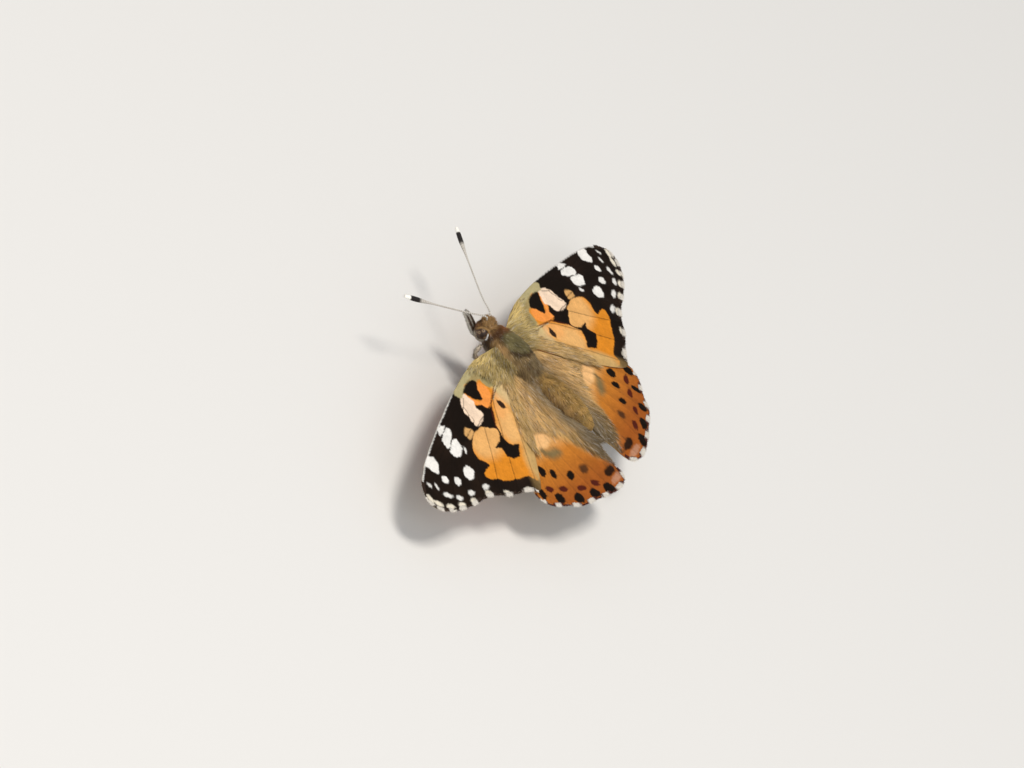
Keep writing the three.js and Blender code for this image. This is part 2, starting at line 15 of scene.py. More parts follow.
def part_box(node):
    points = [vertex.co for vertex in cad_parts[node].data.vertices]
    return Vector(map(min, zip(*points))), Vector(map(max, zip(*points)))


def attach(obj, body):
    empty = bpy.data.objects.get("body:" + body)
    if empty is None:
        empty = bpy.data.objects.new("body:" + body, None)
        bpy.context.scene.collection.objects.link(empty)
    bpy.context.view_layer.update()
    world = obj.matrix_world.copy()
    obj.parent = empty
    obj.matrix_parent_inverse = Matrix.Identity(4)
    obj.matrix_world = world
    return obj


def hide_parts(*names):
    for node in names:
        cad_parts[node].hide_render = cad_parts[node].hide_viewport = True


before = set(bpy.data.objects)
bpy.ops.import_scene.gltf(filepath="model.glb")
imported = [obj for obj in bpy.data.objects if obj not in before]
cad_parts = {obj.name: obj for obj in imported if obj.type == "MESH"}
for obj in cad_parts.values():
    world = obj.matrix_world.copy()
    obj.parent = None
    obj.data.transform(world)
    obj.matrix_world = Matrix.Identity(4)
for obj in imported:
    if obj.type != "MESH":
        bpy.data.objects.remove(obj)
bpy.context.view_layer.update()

MM = 0.001
BODY = "root"
SIDES = ((1, "right"), (-1, "left"))

# Where the animal stands, read from the frame
THORAX_FRONT = -0.75  # t of the front end of the thorax
THORAX_DEPTH = -0.45  # z of its middle
thorax_low, thorax_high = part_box("thorax")
SHIFT_Y = thorax_high[1] / MM + THORAX_FRONT
WING_LEVEL = (thorax_low[2] + thorax_high[2]) / 2 / MM - THORAX_DEPTH
FLOOR = -WING_LEVEL
CLEAR_OF_FLOOR = 0.005

# Wings
TAIL_SLOPE = 0.05  # fall of the wings for each millimetre towards the tail
DROOP = 0.00096  # fall with the square of the distance from the midline
SHEET = 0.13  # thickness of a wing
HINDWING_DROP = 0.32  # how far the hindwing lies under the forewing
HINDWING_CUP = 0.52  # how far it rises again behind the forewing's rear edge
REAR_EDGE = (2.5, 2.4, 0.78, 0.626)  # x and t of a place on that edge, and its direction
GRAIN = 0.13  # spacing of the points of a wing's mesh
VEIN_RELIEF = 0.07
VEIN_WIDTH = 0.13

# Coat and flat maps
MOST_TUFTS = 17000  # in one piece
TUFT_POINTS = 7
MAP_SPAN = 36  # length of wing across its flat map
LIMB_SIDES = 14


def srgb(*levels):
    """Linear colour from the usual 0 to 255 values."""
    v = np.array(levels) / 255
    return np.where(v <= 0.04045, v / 12.92, ((v + 0.055) / 1.055) ** 2.4)


# Colours of the wings
BLACK = srgb(23, 16, 11)
DARK_BROWN = srgb(48, 33, 24)
WHITE = srgb(230, 227, 221)
CREAM = srgb(234, 208, 182)
SPOT_CREAM = srgb(236, 226, 206)
FRINGE_WHITE = srgb(212, 205, 194)
PEACH = srgb(226, 175, 110)
HIND_PEACH = srgb(227, 178, 120)
ORANGE = srgb(212, 132, 37)
BRIGHT_ORANGE = srgb(233, 145, 68)
HIND_ORANGE = srgb(188, 117, 42)
DEEP_ORANGE = srgb(140, 70, 28)
ROSE = srgb(226, 142, 96)
RED_BROWN = srgb(78, 30, 20)
PINK_BROWN = srgb(176, 128, 100)
TAN = srgb(200, 163, 104)
OLIVE = srgb(202, 175, 110)
OLIVE_GREEN = srgb(104, 98, 68)
GREEN_GREY = srgb(150, 140, 98)
GREY_TAN = srgb(176, 154, 118)
BROWN_GREY = srgb(132, 112, 80)
GOLDEN = srgb(222, 176, 114)
COSTAL = srgb(174, 162, 120)
PALE_HAIR = srgb(214, 196, 158)
FLECK = srgb(92, 68, 44)
MARBLE_DARK = srgb(150, 132, 104)
MARBLE_PALE = srgb(226, 214, 188)
EYESPOT_RING = srgb(206, 178, 110)
EYESPOT_BLUE = srgb(90, 120, 150)

# Colours of the body and limbs
THORAX_TOP = srgb(116, 106, 70)
THORAX_RIM = srgb(70, 52, 34)
THORAX_SIDE = srgb(160, 132, 88)
THORAX_REAR = srgb(122, 104, 74)
COLLAR = srgb(146, 90, 46)
CROWN = srgb(152, 118, 74)
FACE = srgb(92, 68, 50)
CHEEK = srgb(176, 164, 146)
ABDOMEN_TOP = srgb(168, 132, 74)
ABDOMEN_DARK = srgb(116, 98, 60)
BELLY = srgb(196, 184, 164)
EYE_BROWN = srgb(92, 66, 44)
HORN_BROWN = srgb(84, 58, 38)
SHAFT_PALE = srgb(206, 200, 190)
SHAFT_DARK = srgb(84, 72, 62)
CLUB_BLACK = srgb(26, 20, 18)
CLUB_TIP = srgb(250, 247, 238)
PALP_PALE = srgb(190, 184, 172)
PALP_DARK = srgb(70, 54, 42)
LEG_PALE = srgb(186, 172, 146)
LEG_DARK = srgb(106, 84, 60)


# Random numbers, noise and shading

rng = np.random.default_rng(7)


def lattice(ix, iy, seed):
    """A repeatable random value from 0 to 1 at each whole-numbered place."""
    n = ix.astype(np.int64) * 374761393 + iy.astype(np.int64) * 668265263 + seed * 974711
    n = (n ^ (n >> 13)) * 1274126177 & 0x7FFFFFFF
    return ((n ^ (n >> 16)) & 0xFFFF) / 65535


def noise(x, y, size, seed):
    """Smooth noise from -1 to 1 with features about size across."""
    x, y = np.asarray(x) / size, np.asarray(y) / size
    ix, iy = np.floor(x), np.floor(y)
    fx, fy = (f * f * (3 - 2 * f) for f in (x - ix, y - iy))
    low, high = (lattice(ix, row, seed) * (1 - fx) + lattice(ix + 1, row, seed) * fx
                 for row in (iy, iy + 1))
    return 2 * (low * (1 - fy) + high * fy) - 1


def streaks(x, t, seed):
    """Fine streaks that fan out from the wing's root."""
    radius = np.hypot(x, t - 1.5)
    angle = np.arctan2(t - 1.5, x + 0.5)
    fine = noise(angle * 60, radius * 0.8, 1, seed)
    return 0.6 * fine + 0.4 * noise(angle * 22, radius * 0.45, 1, seed + 1)


def ramp(low, high, v):
    """A smooth rise from 0 at low to 1 at high."""
    s = np.clip((v - low) / (high - low), 0, 1)
    return s * s * (3 - 2 * s)


def mix(colour, *layers):
    """Lays further colours over the first, each followed by its share for every point."""
    for other, share in zip(layers[::2], layers[1::2]):
        colour = colour + (other - colour) * np.asarray(share)[..., None]
    return colour


def columns(*values):
    """Values side by side, one row per point."""
    return np.column_stack(np.broadcast_arrays(*values))


def unit(v):
    return v / (np.linalg.norm(v, axis=1, keepdims=True) + 1e-12)


# Curves in plan

def between(at, start, end, a, b):
    """What runs evenly from a at start to b at end."""
    return (end - at) / (end - start) * a + (at - start) / (end - start) * b


def spline(points, step=0.1, closed=False):
    """A smooth curve through points, as closely spaced points."""
    p = np.array(points, float)
    if closed:
        p = np.vstack([p[-1], p, p[0], p[1]])
    else:
        p = np.vstack([2 * p[0] - p[1], p, 2 * p[-1] - p[-2]])
    out = []
    for p0, p1, p2, p3 in zip(p, p[1:], p[2:], p[3:]):
        gaps = [max(np.linalg.norm(b - a), 1e-6) ** 0.5
                for a, b in ((p0, p1), (p1, p2), (p2, p3))]
        t0, t1, t2, t3 = np.cumsum([0, *gaps])
        n = max(2, int(np.ceil(np.linalg.norm(p2 - p1) / step)))
        at = np.linspace(t1, t2, n, endpoint=False)[:, None]
        middle = between(at, t1, t2, p1, p2)
        first = between(at, t0, t2, between(at, t0, t1, p0, p1), middle)
        last = between(at, t1, t3, middle, between(at, t2, t3, p2, p3))
        out.append(between(at, t1, t2, first, last))
    if not closed:
        out.append(p[-2:-1])
    return np.vstack(out)


def distance_to(line, x, t, closed=False):
    """Distance from each place to a line of points."""
    ends = np.vstack([line, line[:1]]) if closed else line
    best = np.full(np.shape(x), np.inf)
    for (ax, at), (bx, bt) in zip(ends[:-1], ends[1:]):
        dx, dt = bx - ax, bt - at
        length = dx * dx + dt * dt
        if length > 1e-12:
            s = np.clip(((x - ax) * dx + (t - at) * dt) / length, 0, 1)
            best = np.minimum(best, (x - ax - s * dx) ** 2 + (t - at - s * dt) ** 2)
    return np.sqrt(best)


def inside(outline, x, t):
    """Whether each place lies inside a closed outline."""
    odd = np.zeros(np.shape(x), bool)
    for (ax, at), (bx, bt) in zip(outline, np.roll(outline, -1, axis=0)):
        if bt != at:
            crosses = (at > t) != (bt > t)
            odd ^= crosses & (x < ax + (t - at) * (bx - ax) / (bt - at))
    return odd


class Marks:
    """Lays coloured marks over a field of places, each with a slightly ragged edge."""

    def __init__(self, x, t, ground):
        self.x, self.t = x, t
        self.ragged = 0.07 * (noise(x, t, 0.16, 1) + 0.8 * noise(x, t, 0.4, 2))
        self.colour = np.broadcast_to(ground, (len(x), 3))

    def lay(self, colour, depth, soft, strength=1):
        share = ramp(-soft, soft, depth + self.ragged) * strength
        self.colour = mix(self.colour, colour, share)

    def depth_in(self, outline, rounded=True):
        """How far each place lies inside an outline, negative outside."""
        line = spline(outline, 0.35, closed=True) if rounded else np.array(outline, float)
        depth = distance_to(line, self.x, self.t, closed=True)
        return np.where(inside(line, self.x, self.t), depth, -depth)

    def patch(self, colour, outline, soft=0.07, strength=1, rounded=True):
        self.lay(colour, self.depth_in(outline, rounded), soft, strength)

    def spot(self, colour, centre, size, turn=0, soft=0.07, strength=1):
        c, s = math.cos(turn), math.sin(turn)
        dx, dt = self.x - centre[0], self.t - centre[1]
        away = np.sqrt(((c * dx + s * dt) / size[0]) ** 2 + ((-s * dx + c * dt) / size[1]) ** 2)
        self.lay(colour, (1 - away) * min(size), soft, strength)

    def line(self, colour, points, width, strength=1):
        depth = width / 2 - distance_to(spline(points, 0.6), self.x, self.t)
        self.lay(colour, depth - 0.7 * self.ragged, 0.05, strength)


# Wing shapes in plan. Each margin runs from the front of the root round the tip to the
# rear of the root. A vein is its course from the root or cell out to the margin. The
# fringe stands between the two ends of the termen, and is white within a reach of some
# places, given as x, t and reach.

FOREWING = {
    "margin": [
        (1.2, 0.45), (3.6, -0.05), (5.9, -0.5), (9.2, -0.7), (12.5, -0.6), (18, -0.1),
        (22.5, 0.55), (27, 1.3), (30.1, 2.05), (32.4, 3.1), (33.6, 4.6), (33.2, 6), (31.7, 7.2),
        (29.9, 8), (27.5, 8.75), (24.8, 9.4), (23, 10.3), (21.5, 11.3), (18.9, 12.3),
        (17.4, 13.1), (16.6, 13.7), (15.6, 13.35), (12.6, 11.3), (9, 8.3), (6.3, 5.9),
        (3.6, 3.4), (1.2, 2.5)],
    "veins": [
        [(1.8, 0.7), (4.2, 0.4), (5.9, -0.05), (10, -0.28), (14.2, -0.45)],
        [(2, 0.9), (6, 0.62), (10.5, 0.5), (14.6, 0.12), (17.5, 0.3), (20.5, 0.25)],
        [(12.4, 0.55), (14.6, 0.85), (16.8, 0.95), (22, 1.3), (28, 1.5)],
        [(14.6, 0.85), (15.8, 1.45), (22, 2.15), (28.5, 3.15), (33.4, 4.2)],
        [(22, 2.15), (25.5, 2), (30.5, 2.4)],
        [(15.8, 1.45), (16.15, 2.4), (22.5, 3.1), (27.5, 5.1), (31.2, 7.45)],
        [(16.15, 2.4), (16.1, 3.15), (22, 4.1), (26, 6.2), (28.9, 8.35)],
        [(2, 1.9), (6.5, 2.75), (10.2, 3.5), (13, 3.75), (15.8, 3.9), (19.5, 4.4), (23.2, 6.9),
         (25.7, 9.2)],
        [(13, 3.75), (14.6, 3.95), (18.9, 7.3), (22.9, 10.35)],
        [(8.6, 3.2), (10.2, 3.5), (13.5, 6.2), (16.5, 8.8), (20, 11.95)],
        [(1.8, 1.95), (4.4, 2.5), (9.5, 6.4), (16.9, 13.45)]],
    "termen": ((31.9, 2.8), (16.9, 13.5)),
    "white": [
        (33.3, 4.7, 0.5), (32.75, 5.8, 0.5), (31.6, 7.05, 0.55), (30.05, 7.95, 0.6),
        (27.55, 8.7, 0.65), (24.4, 9.5, 0.7), (21.65, 11.15, 0.65), (18.3, 12.85, 0.95),
        (16.8, 13.6, 0.6)],
    "dark": DARK_BROWN,
}
HINDWING = {
    "margin": [
        (1.2, 2.95), (4.6, 3), (7.6, 4.2), (11, 6.4), (14.2, 9.4), (16.4, 12), (17.3, 13.9),
        (17, 15), (16.4, 15.8), (14.6, 16.95), (12.6, 18.4), (10.2, 19.15), (7.6, 20),
        (5.2, 20.55), (3, 20.55), (1.9, 20.1), (1.45, 19), (1.3, 17.6), (0.95, 16.2),
        (0.75, 15.2), (1.1, 14.2), (1.6, 12.8), (1.86, 11.2), (1.95, 9.4), (1.9, 7.6),
        (1.75, 6.2), (1.2, 4.9)],
    "veins": [
        [(1.6, 3.6), (3.3, 3.75), (4.9, 3.6), (8.4, 5.3), (12.8, 8.8), (16.9, 12.9)],
        [(1.6, 3.7), (4.6, 4.45), (7.7, 5.7), (9.8, 7.3), (12.9, 10.15), (17.25, 14.4)],
        [(7.4, 5.6), (9.5, 8.5), (13, 11.6), (16.6, 15.6)],
        [(9.5, 8.5), (9.7, 9.35), (12.2, 12.9), (14.4, 17.1)],
        [(1.6, 4.1), (4.8, 6.9), (7.4, 9.7), (9.1, 10.2), (10.9, 14.2), (12.1, 18.65)],
        [(7.4, 9.7), (8.8, 14.6), (9.3, 19.4)],
        [(4.8, 6.9), (6.3, 13.8), (6.1, 20.4)],
        [(1.6, 4.4), (3.4, 7), (3.6, 14.5), (3, 20.55)]],
    "termen": ((17.3, 13.6), (1.5, 19.3)),
    "white": [
        (17.2, 14.7, 0.45), (15.6, 16.4, 0.6), (13.4, 17.9, 0.65), (10.8, 19, 0.65),
        (7.9, 20, 0.75), (4.6, 20.7, 0.8), (2, 20.3, 0.6)],
    "dark": RED_BROWN * 0.8,
}


def forewing_top(x, t):
    return -TAIL_SLOPE * t - DROOP * x * x


def behind_forewing(x, t):
    """How far a place lies behind the forewing's rear edge."""
    x0, t0, dx, dt = REAR_EDGE
    return dx * (t - t0) - dt * (x - x0)


def hindwing_top(x, t):
    drop = HINDWING_DROP - HINDWING_CUP * ramp(2, 9, behind_forewing(x, t))
    fold = 0.35 * (1 - ramp(0, 2.2, x - 1)) * ramp(4, 9, t)
    return forewing_top(x, t) - drop - fold


def forewing_hair_share(x, t):
    """How much of the ground colour is hidden by long soft hair, from 0 to 1."""
    reach = 8.6 - 0.9 * t + 0.6 * noise(x, t, 1.4, 5)
    rear = distance_to(np.array(FOREWING["margin"][-6:]), x, t) + 0.3 * noise(x, t, 1, 8)
    strip = (1 - ramp(0.5, 2, rear)) * (1 - 0.6 * ramp(11, 16, x))
    return np.maximum(1 - ramp(reach - 3.5, reach + 1.5, x), strip)


def hindwing_hair_share(x, t):
    reach = 8.4 - 0.45 * np.maximum(t - 6, 0)
    inner = 1 - ramp(reach - 4.2, reach + 0.4, x + 0.6 * noise(x, t, 1.2, 6))
    inner *= 1 - ramp(17.8, 19.3, t)
    base = 1 - ramp(8.5, 13.5, t + 0.25 * x + 0.4 * noise(x, t, 1.6, 7))
    return np.maximum(inner, base) * ramp(1.3, 2.4, np.hypot((x - 9) / 1.35, t - 10.1))


def forewing_hair_colour(x, t):
    """Olive in front, green-grey in the cell and tan behind."""
    run = 0.5 * streaks(x, t, 31)
    cell = np.exp(-((x - 7.6) / 1.9) ** 2 - ((t - 1.8) / 0.9) ** 2) + 0.5 * run
    return mix(OLIVE, GREEN_GREY, ramp(0.1, 0.9, cell),
               TAN, ramp(2.2, 4.6, t + 0.15 * x + run))


def hindwing_hair_colour(x, t):
    """Golden outside and grey inside, browner to the rear."""
    run = 0.5 * streaks(x, t, 31)
    golden = mix(GOLDEN, TAN, ramp(-0.4, 0.6, run),
                 BROWN_GREY, 0.6 * ramp(13, 18, t + 0.6 * run))
    return mix(GREY_TAN, golden, ramp(1.8, 3.3, x - 0.05 * (t - 6) + 0.6 * run))


def shade_hair(marks, share, hair):
    """Streaks the colours where hair covers the wing, and mottles them a little all over."""
    x, t = marks.x, marks.t
    hair = hair * (0.85 + 0.15 * streaks(x, t, 21))[:, None]
    mottle = 1 + 0.1 * noise(x, t, 0.14, 41) + 0.08 * noise(x, t, 0.7, 42)
    return np.clip(mix(marks.colour, hair, share * 0.85) * mottle[:, None], 0.002, 1)


def forewing_colours(x, t):
    dark = mix(BLACK, DARK_BROWN, 0.2 * (1 + noise(x, t, 2.2, 11)))
    marks = Marks(x, t, ORANGE)
    patch, spot, line = marks.patch, marks.spot, marks.line
    # Pale peach towards the root, deep orange towards the margin
    patch(PEACH, [
        (15.21, 4.05), (19.08, 3.87), (20.34, 4.77), (20.16, 6.48), (18.36, 7.56), (14.94, 7.38),
        (13.5, 5.76)], soft=0.9, strength=0.85)
    patch(PEACH, [
        (9, 3.78), (11.7, 4.68), (13.86, 6.66), (13.68, 8.28), (12.06, 8.82), (9.54, 6.21)],
        soft=0.8, strength=0.95)
    # Black beyond the orange field
    field = marks.depth_in([
        (8.64, -0.36), (13.14, 0.09), (15.5, 4.2), (17.7, 4.05), (19.4, 4.45), (20.6, 5.2),
        (20.85, 6.3), (20.3, 7.1), (20.3, 7.6), (21.4, 7.55), (22.3, 7.8), (22.1, 8.5),
        (21.1, 9.2), (20, 10.05), (18.7, 10.8), (17.2, 11.3), (16.2, 11.8), (15.66, 12.78),
        (12.6, 11.88), (8.1, 7.65)])
    marks.lay(dark, -field, 0.07)
    # Olive base and tan hind strip
    patch(OLIVE, [
        (0, -1.26), (8.91, -0.9), (8.82, 0.9), (8.64, 2.7), (8.37, 3.96), (5.4, 4.5), (0, 3.6)],
        soft=0.5)
    patch(TAN, [
        (0, 2.34), (7.74, 3.51), (9.18, 5.67), (10.89, 7.92), (12.78, 9.27), (14.22, 10.35),
        (15.3, 12.6), (14.04, 14.04), (8.1, 9.54), (1.8, 4.5)], soft=0.8)
    # Pale hair behind the middle vein, green-grey in front of it
    patch(mix(PEACH, BRIGHT_ORANGE, 0.4), [
        (9.2, 3.5), (10.4, 3.7), (11.8, 4.8), (11.6, 5.8), (9.8, 5.6), (9, 4.6)],
        soft=0.5, strength=0.8)
    patch(PALE_HAIR, [
        (5.6, 2.5), (7.9, 2.9), (9.5, 3.4), (9.1, 4.2), (8.5, 5.4), (6.8, 4.4), (6.6, 3.6)],
        soft=0.4, strength=0.35)
    patch(GREEN_GREY, [
        (8, -0.2), (12.3, -0.1), (11.4, 0.5), (10.3, 0.9), (9.3, 1.1), (9, 2.3), (7.4, 2.7)],
        soft=0.15, strength=0.9)
    # Bright orange cell behind its black spot, the black field beyond it and the cream bar
    patch(BRIGHT_ORANGE, [
        (9.6, 1.3), (10.5, 1.2), (11.1, 1.66), (11.5, 2.3), (12.3, 2.5), (12.9, 1.9), (13.6, 0.7),
        (13.75, 1.5), (13.42, 2.4), (12.6, 3.1), (12.55, 3.66), (11.64, 3.69), (10.21, 3.29),
        (9.4, 2.72), (9.13, 2.18)], soft=0.1)
    patch(BLACK, [
        (13.7, 0.4), (13.5, 0.93), (13, 1.6), (12.5, 2.2), (11.8, 2.65), (11.2, 2.2), (10.9, 1.6),
        (10.1, 0.85), (10.8, 0.35), (12.27, 0.15)])
    patch(BLACK, [
        (12.9, -0.27), (17.1, -0.54), (20.7, 2.34), (21.06, 3.6), (20.16, 4.05), (19.2, 3.8),
        (18.4, 4), (16.09, 4.32), (14.57, 5.3), (13.85, 5.8), (12.65, 4.9), (11.16, 3.74),
        (12.45, 3.74), (12.55, 3), (13.45, 2.4), (13.8, 1.4), (13.7, 0.4)], rounded=False)
    patch(CREAM, [
        (13.8, 0.6), (15.08, 0.62), (16.24, 1.7), (16.45, 2.67), (16.7, 3.72), (16.5, 4.03),
        (15.75, 4.1), (14.2, 3.84), (13.7, 3.23), (13.78, 2.67), (13.45, 2.3), (13.2, 2),
        (13.5, 1.3)])
    patch(PEACH * 0.85, [(18.4, 2.94), (19.58, 3.4), (19.6, 4.1), (18, 4.15), (17.8, 3.75)],
          soft=0.12)
    # Zigzag that ties the field to the middle vein
    line(BLACK, [(13.7, 5.65), (14.25, 6.5)], 0.22)
    patch(BLACK, [
        (14.2, 6.3), (15.35, 6.9), (17, 6.9), (16.1, 7.54), (16.28, 8.1), (16.6, 8.61),
        (15.79, 9.3), (14.55, 9.67), (12.8, 8.78), (13.66, 8.42), (14.28, 7.98), (14.5, 7.1)],
        rounded=False)
    patch(DARK_BROWN, [
        (9.75, 3.92), (10.12, 4.51), (9.97, 5.15), (9.3, 5.25), (9.15, 4.7), (9.3, 4.2)])
    line(RED_BROWN, [(7.8, 2.72), (9.6, 3.2), (11.3, 3.7), (14, 5.8)], 0.13, 0.9)
    line(PALE_HAIR, [(5.9, 2.5), (7.8, 2.9), (10.3, 3.62)], 0.15, 0.8)
    for vein in FOREWING["veins"][3:]:
        line(BLACK, vein, 0.11, 0.7)
    # White bar and subapical spots
    patch(WHITE, [(22.3, 0.45), (23.4, 1.3), (22.1, 1.32), (21.1, 1)], rounded=False)
    for outline in [
            [(21.2, 1.3), (22.5, 1.45), (23.6, 1.8), (24, 2.5), (23.6, 2.9), (22.4, 2.55),
             (21.4, 2.2), (20.95, 1.75)],
            [(22, 2.65), (23.3, 3), (24.1, 3.4), (24.1, 3.95), (23.5, 4.3), (22.3, 4.2),
             (21.5, 3.6), (21.4, 3)],
            [(27.7, 1.6), (28.9, 1.75), (29.5, 2), (29.25, 2.5), (29.1, 3.15), (28.75, 3.65),
             (27.7, 3.1), (27.1, 2.4)]]:
        patch(WHITE, outline)
    for centre, size, turn in [
            ((21.7, 4.4), (0.45, 0.2), 0.8), ((28.5, 4.58), (0.55, 0.46), 0.5),
            ((27.03, 5.76), (0.62, 0.46), 0.3), ((24.3, 6.2), (1.05, 0.75), 0.25)]:
        spot(WHITE, centre, size, turn)
    # Two rows of spots along the rear margin, and the white front edge
    for centre, size, turn in [
            ((31.5, 3.55), (0.42, 0.22), 1.2), ((30.58, 4.3), (0.42, 0.24), 1.2),
            ((30.25, 5.84), (0.6, 0.3), 2.2), ((29.06, 7.05), (0.5, 0.3), 2.6),
            ((26.76, 7.78), (0.6, 0.34), 2.9), ((23.9, 8.6), (0.7, 0.34), 2.9)]:
        spot(WHITE, centre, size, turn, soft=0.1, strength=0.92)
    for centre, turn in [
            ((33.15, 4.6), 1.5), ((32.55, 5.65), 2.1), ((31.45, 6.82), 2.4), ((29.7, 7.7), 2.7),
            ((27.5, 8.48), 2.85), ((24.35, 9.32), 2.7), ((21.6, 10.98), 2.5), ((18.1, 12.7), 2.6)]:
        spot(SPOT_CREAM, centre, (0.58, 0.36), turn, soft=0.12, strength=0.85)
    line(WHITE, [(14.5, -0.58), (18, -0.08), (22.5, 0.58), (27, 1.33), (30.1, 2.08), (31.8, 2.8)],
         0.2, 0.8)
    patch(COSTAL, [
        (0.9, -0.18), (4.5, -0.9), (9.45, -1.17), (14.04, -0.9), (15.3, 0), (14.76, 0.68),
        (12.6, 0.14), (9.45, 0.09), (4.95, 0.36), (1.35, 0.9)], soft=0.12)
    return shade_hair(marks, forewing_hair_share(x, t), forewing_hair_colour(x, t))


def hindwing_colours(x, t):
    marks = Marks(x, t, mix(GOLDEN, HIND_ORANGE, ramp(11.5, 15, t + 0.2 * x),
                            DEEP_ORANGE, ramp(13.5, 19.5, t + 0.15 * x) * 0.8))
    patch, spot = marks.patch, marks.spot
    patch(TAN, [
        (0, 1.8), (7.2, 3.15), (10.8, 6.75), (8.1, 8.55), (6.3, 10.35), (4.6, 14), (2.8, 17),
        (0, 18)], soft=1)
    # Pale patch with its smudges
    patch(HIND_PEACH, [
        (7.3, 9.8), (8.3, 9), (9.5, 8.7), (11, 9.9), (10.8, 10.7), (9.6, 11.4), (8, 11.5),
        (6.9, 10.9)], soft=0.25)
    spot(DARK_BROWN, (7.6, 8.9), (0.6, 0.3), 0.5, soft=0.25, strength=0.6)
    spot(DARK_BROWN, (10.2, 11.6), (0.55, 0.2), 1.2, soft=0.18, strength=0.6)
    patch(OLIVE_GREEN, [
        (10.3, 11.1), (10.2, 12.4), (9.1, 13.2), (7.5, 13.2), (8.2, 12.2), (9.4, 11.7)],
        soft=0.55, strength=0.85)
    # Row of eyespots, the rearmost one softer
    spot(BLACK, (13.14, 12.69), (0.77, 0.61), 0.7)
    spot(BLACK, (11.88, 13.86), (0.65, 0.5), 0.7)
    spot(BLACK, (9.9, 15.48), (0.65, 0.52), 0.4)
    spot(DARK_BROWN, (7.2, 16.2), (0.72, 0.54), soft=0.2, strength=0.85)
    # Red-black marks inside the margin, and a triangle on the end of each vein
    for centre in [(14.67, 14.49), (12.69, 15.75), (10.35, 17.28), (7.65, 18.18)]:
        spot(RED_BROWN, centre, (0.72, 0.4), -0.5)
    for centre, size in [
            ((16.38, 14.13), (0.63, 0.81)), ((14.49, 16.02), (0.59, 0.72)),
            ((12.06, 17.73), (0.72, 0.68)), ((9.27, 18.81), (0.9, 0.59)), ((6.4, 19.8), (1, 0.72))]:
        spot(BLACK, centre, size, -0.5)
    # Black patch, pink-brown lobe and black spot at the inner corner
    patch(BLACK, [(2.2, 18.8), (3, 18.3), (4.4, 18.2), (4.9, 18.6), (4.4, 19.05), (3, 19.2)],
          soft=0.15, strength=0.95)
    spot(PINK_BROWN, (3.5, 19.8), (1.5, 0.4), soft=0.15, strength=0.9)
    spot(BLACK, (1.98, 20.34), (0.54, 0.54), strength=0.8)
    for vein in HINDWING["veins"]:
        marks.line(DARK_BROWN, vein, 0.1, 0.3)
    return shade_hair(marks, hindwing_hair_share(x, t), hindwing_hair_colour(x, t))


def marbled(x, t):
    """The ground of the underside, marbled olive brown and cream."""
    marble = noise(x, t, 1.3, 51) + 0.5 * noise(x, t, 0.6, 52)
    return Marks(x, t, mix(MARBLE_DARK, MARBLE_PALE, ramp(-0.15, 0.35, marble)))


def forewing_underside(x, t):
    """A rosy base with the black and white marks of the upper side."""
    marks = marbled(x, t)
    marks.patch(ROSE, [(2.7, 0.54), (12.6, 0.72), (20.34, 4.77), (22.14, 8.1), (16.2, 11.7),
                       (4.5, 4.5)], soft=0.5)
    marks.patch(BLACK, [(12.51, 0.36), (17.1, 0.36), (20.7, 2.34), (20.16, 4.05), (17.1, 3.96),
                        (14.31, 4.95), (10.98, 3.69), (13.14, 2.34)])
    marks.patch(CREAM, [(13.14, 0.68), (14.67, 0.68), (16.11, 2.79), (14.94, 4.05),
                        (13.41, 2.34)])
    marks.patch(BLACK, [(14.13, 6.84), (16.47, 6.93), (15.84, 8.64), (14.04, 9.54),
                        (12.33, 8.82)])
    marks.spot(WHITE, (22.59, 2.61), (1.35, 1.44), 0.1)
    marks.spot(WHITE, (24.3, 6.12), (1.08, 0.72))
    return marks.colour


def hindwing_underside(x, t):
    """Four ringed eyespots and pale veins."""
    marks = marbled(x, t)
    for centre, size in [((12.96, 12.87), 0.95), ((11.61, 14.22), 0.7), ((9.72, 15.57), 0.7),
                         ((7.02, 16.38), 0.95)]:
        for colour, part in [(EYESPOT_RING, 1), (BLACK, 0.72), (EYESPOT_BLUE, 0.4)]:
            marks.spot(colour, centre, (size * part, size * part))
    for vein in HINDWING["veins"]:
        marks.line(CREAM, vein, 0.22, 0.8)
    return marks.colour


FOREWING.update(
    kind="forewing", top=forewing_top, upper=forewing_colours, under=forewing_underside,
    hair_share=forewing_hair_share, hair_colour=forewing_hair_colour, underside_map=(0, 0.48))
HINDWING.update(
    kind="hindwing", top=hindwing_top, upper=hindwing_colours, under=hindwing_underside,
    hair_share=hindwing_hair_share, hair_colour=hindwing_hair_colour, underside_map=(0.49, 0))


# Building meshes

def in_frame(vectors, side=1):
    """Directions given as x, t, z turned into the frame, on the right (1) or the left (-1)."""
    v = np.asarray(vectors, float)
    return columns(side * v[:, 0], -v[:, 1], v[:, 2])


def to_metres(places, side=1):
    """Places given as x, t, z to points in the frame."""
    return (in_frame(places, side) + (0, SHIFT_Y, WING_LEVEL)) * MM


def add_object(name, data):
    holder = bpy.data.objects.new(name, data)
    bpy.context.scene.collection.objects.link(holder)
    return holder


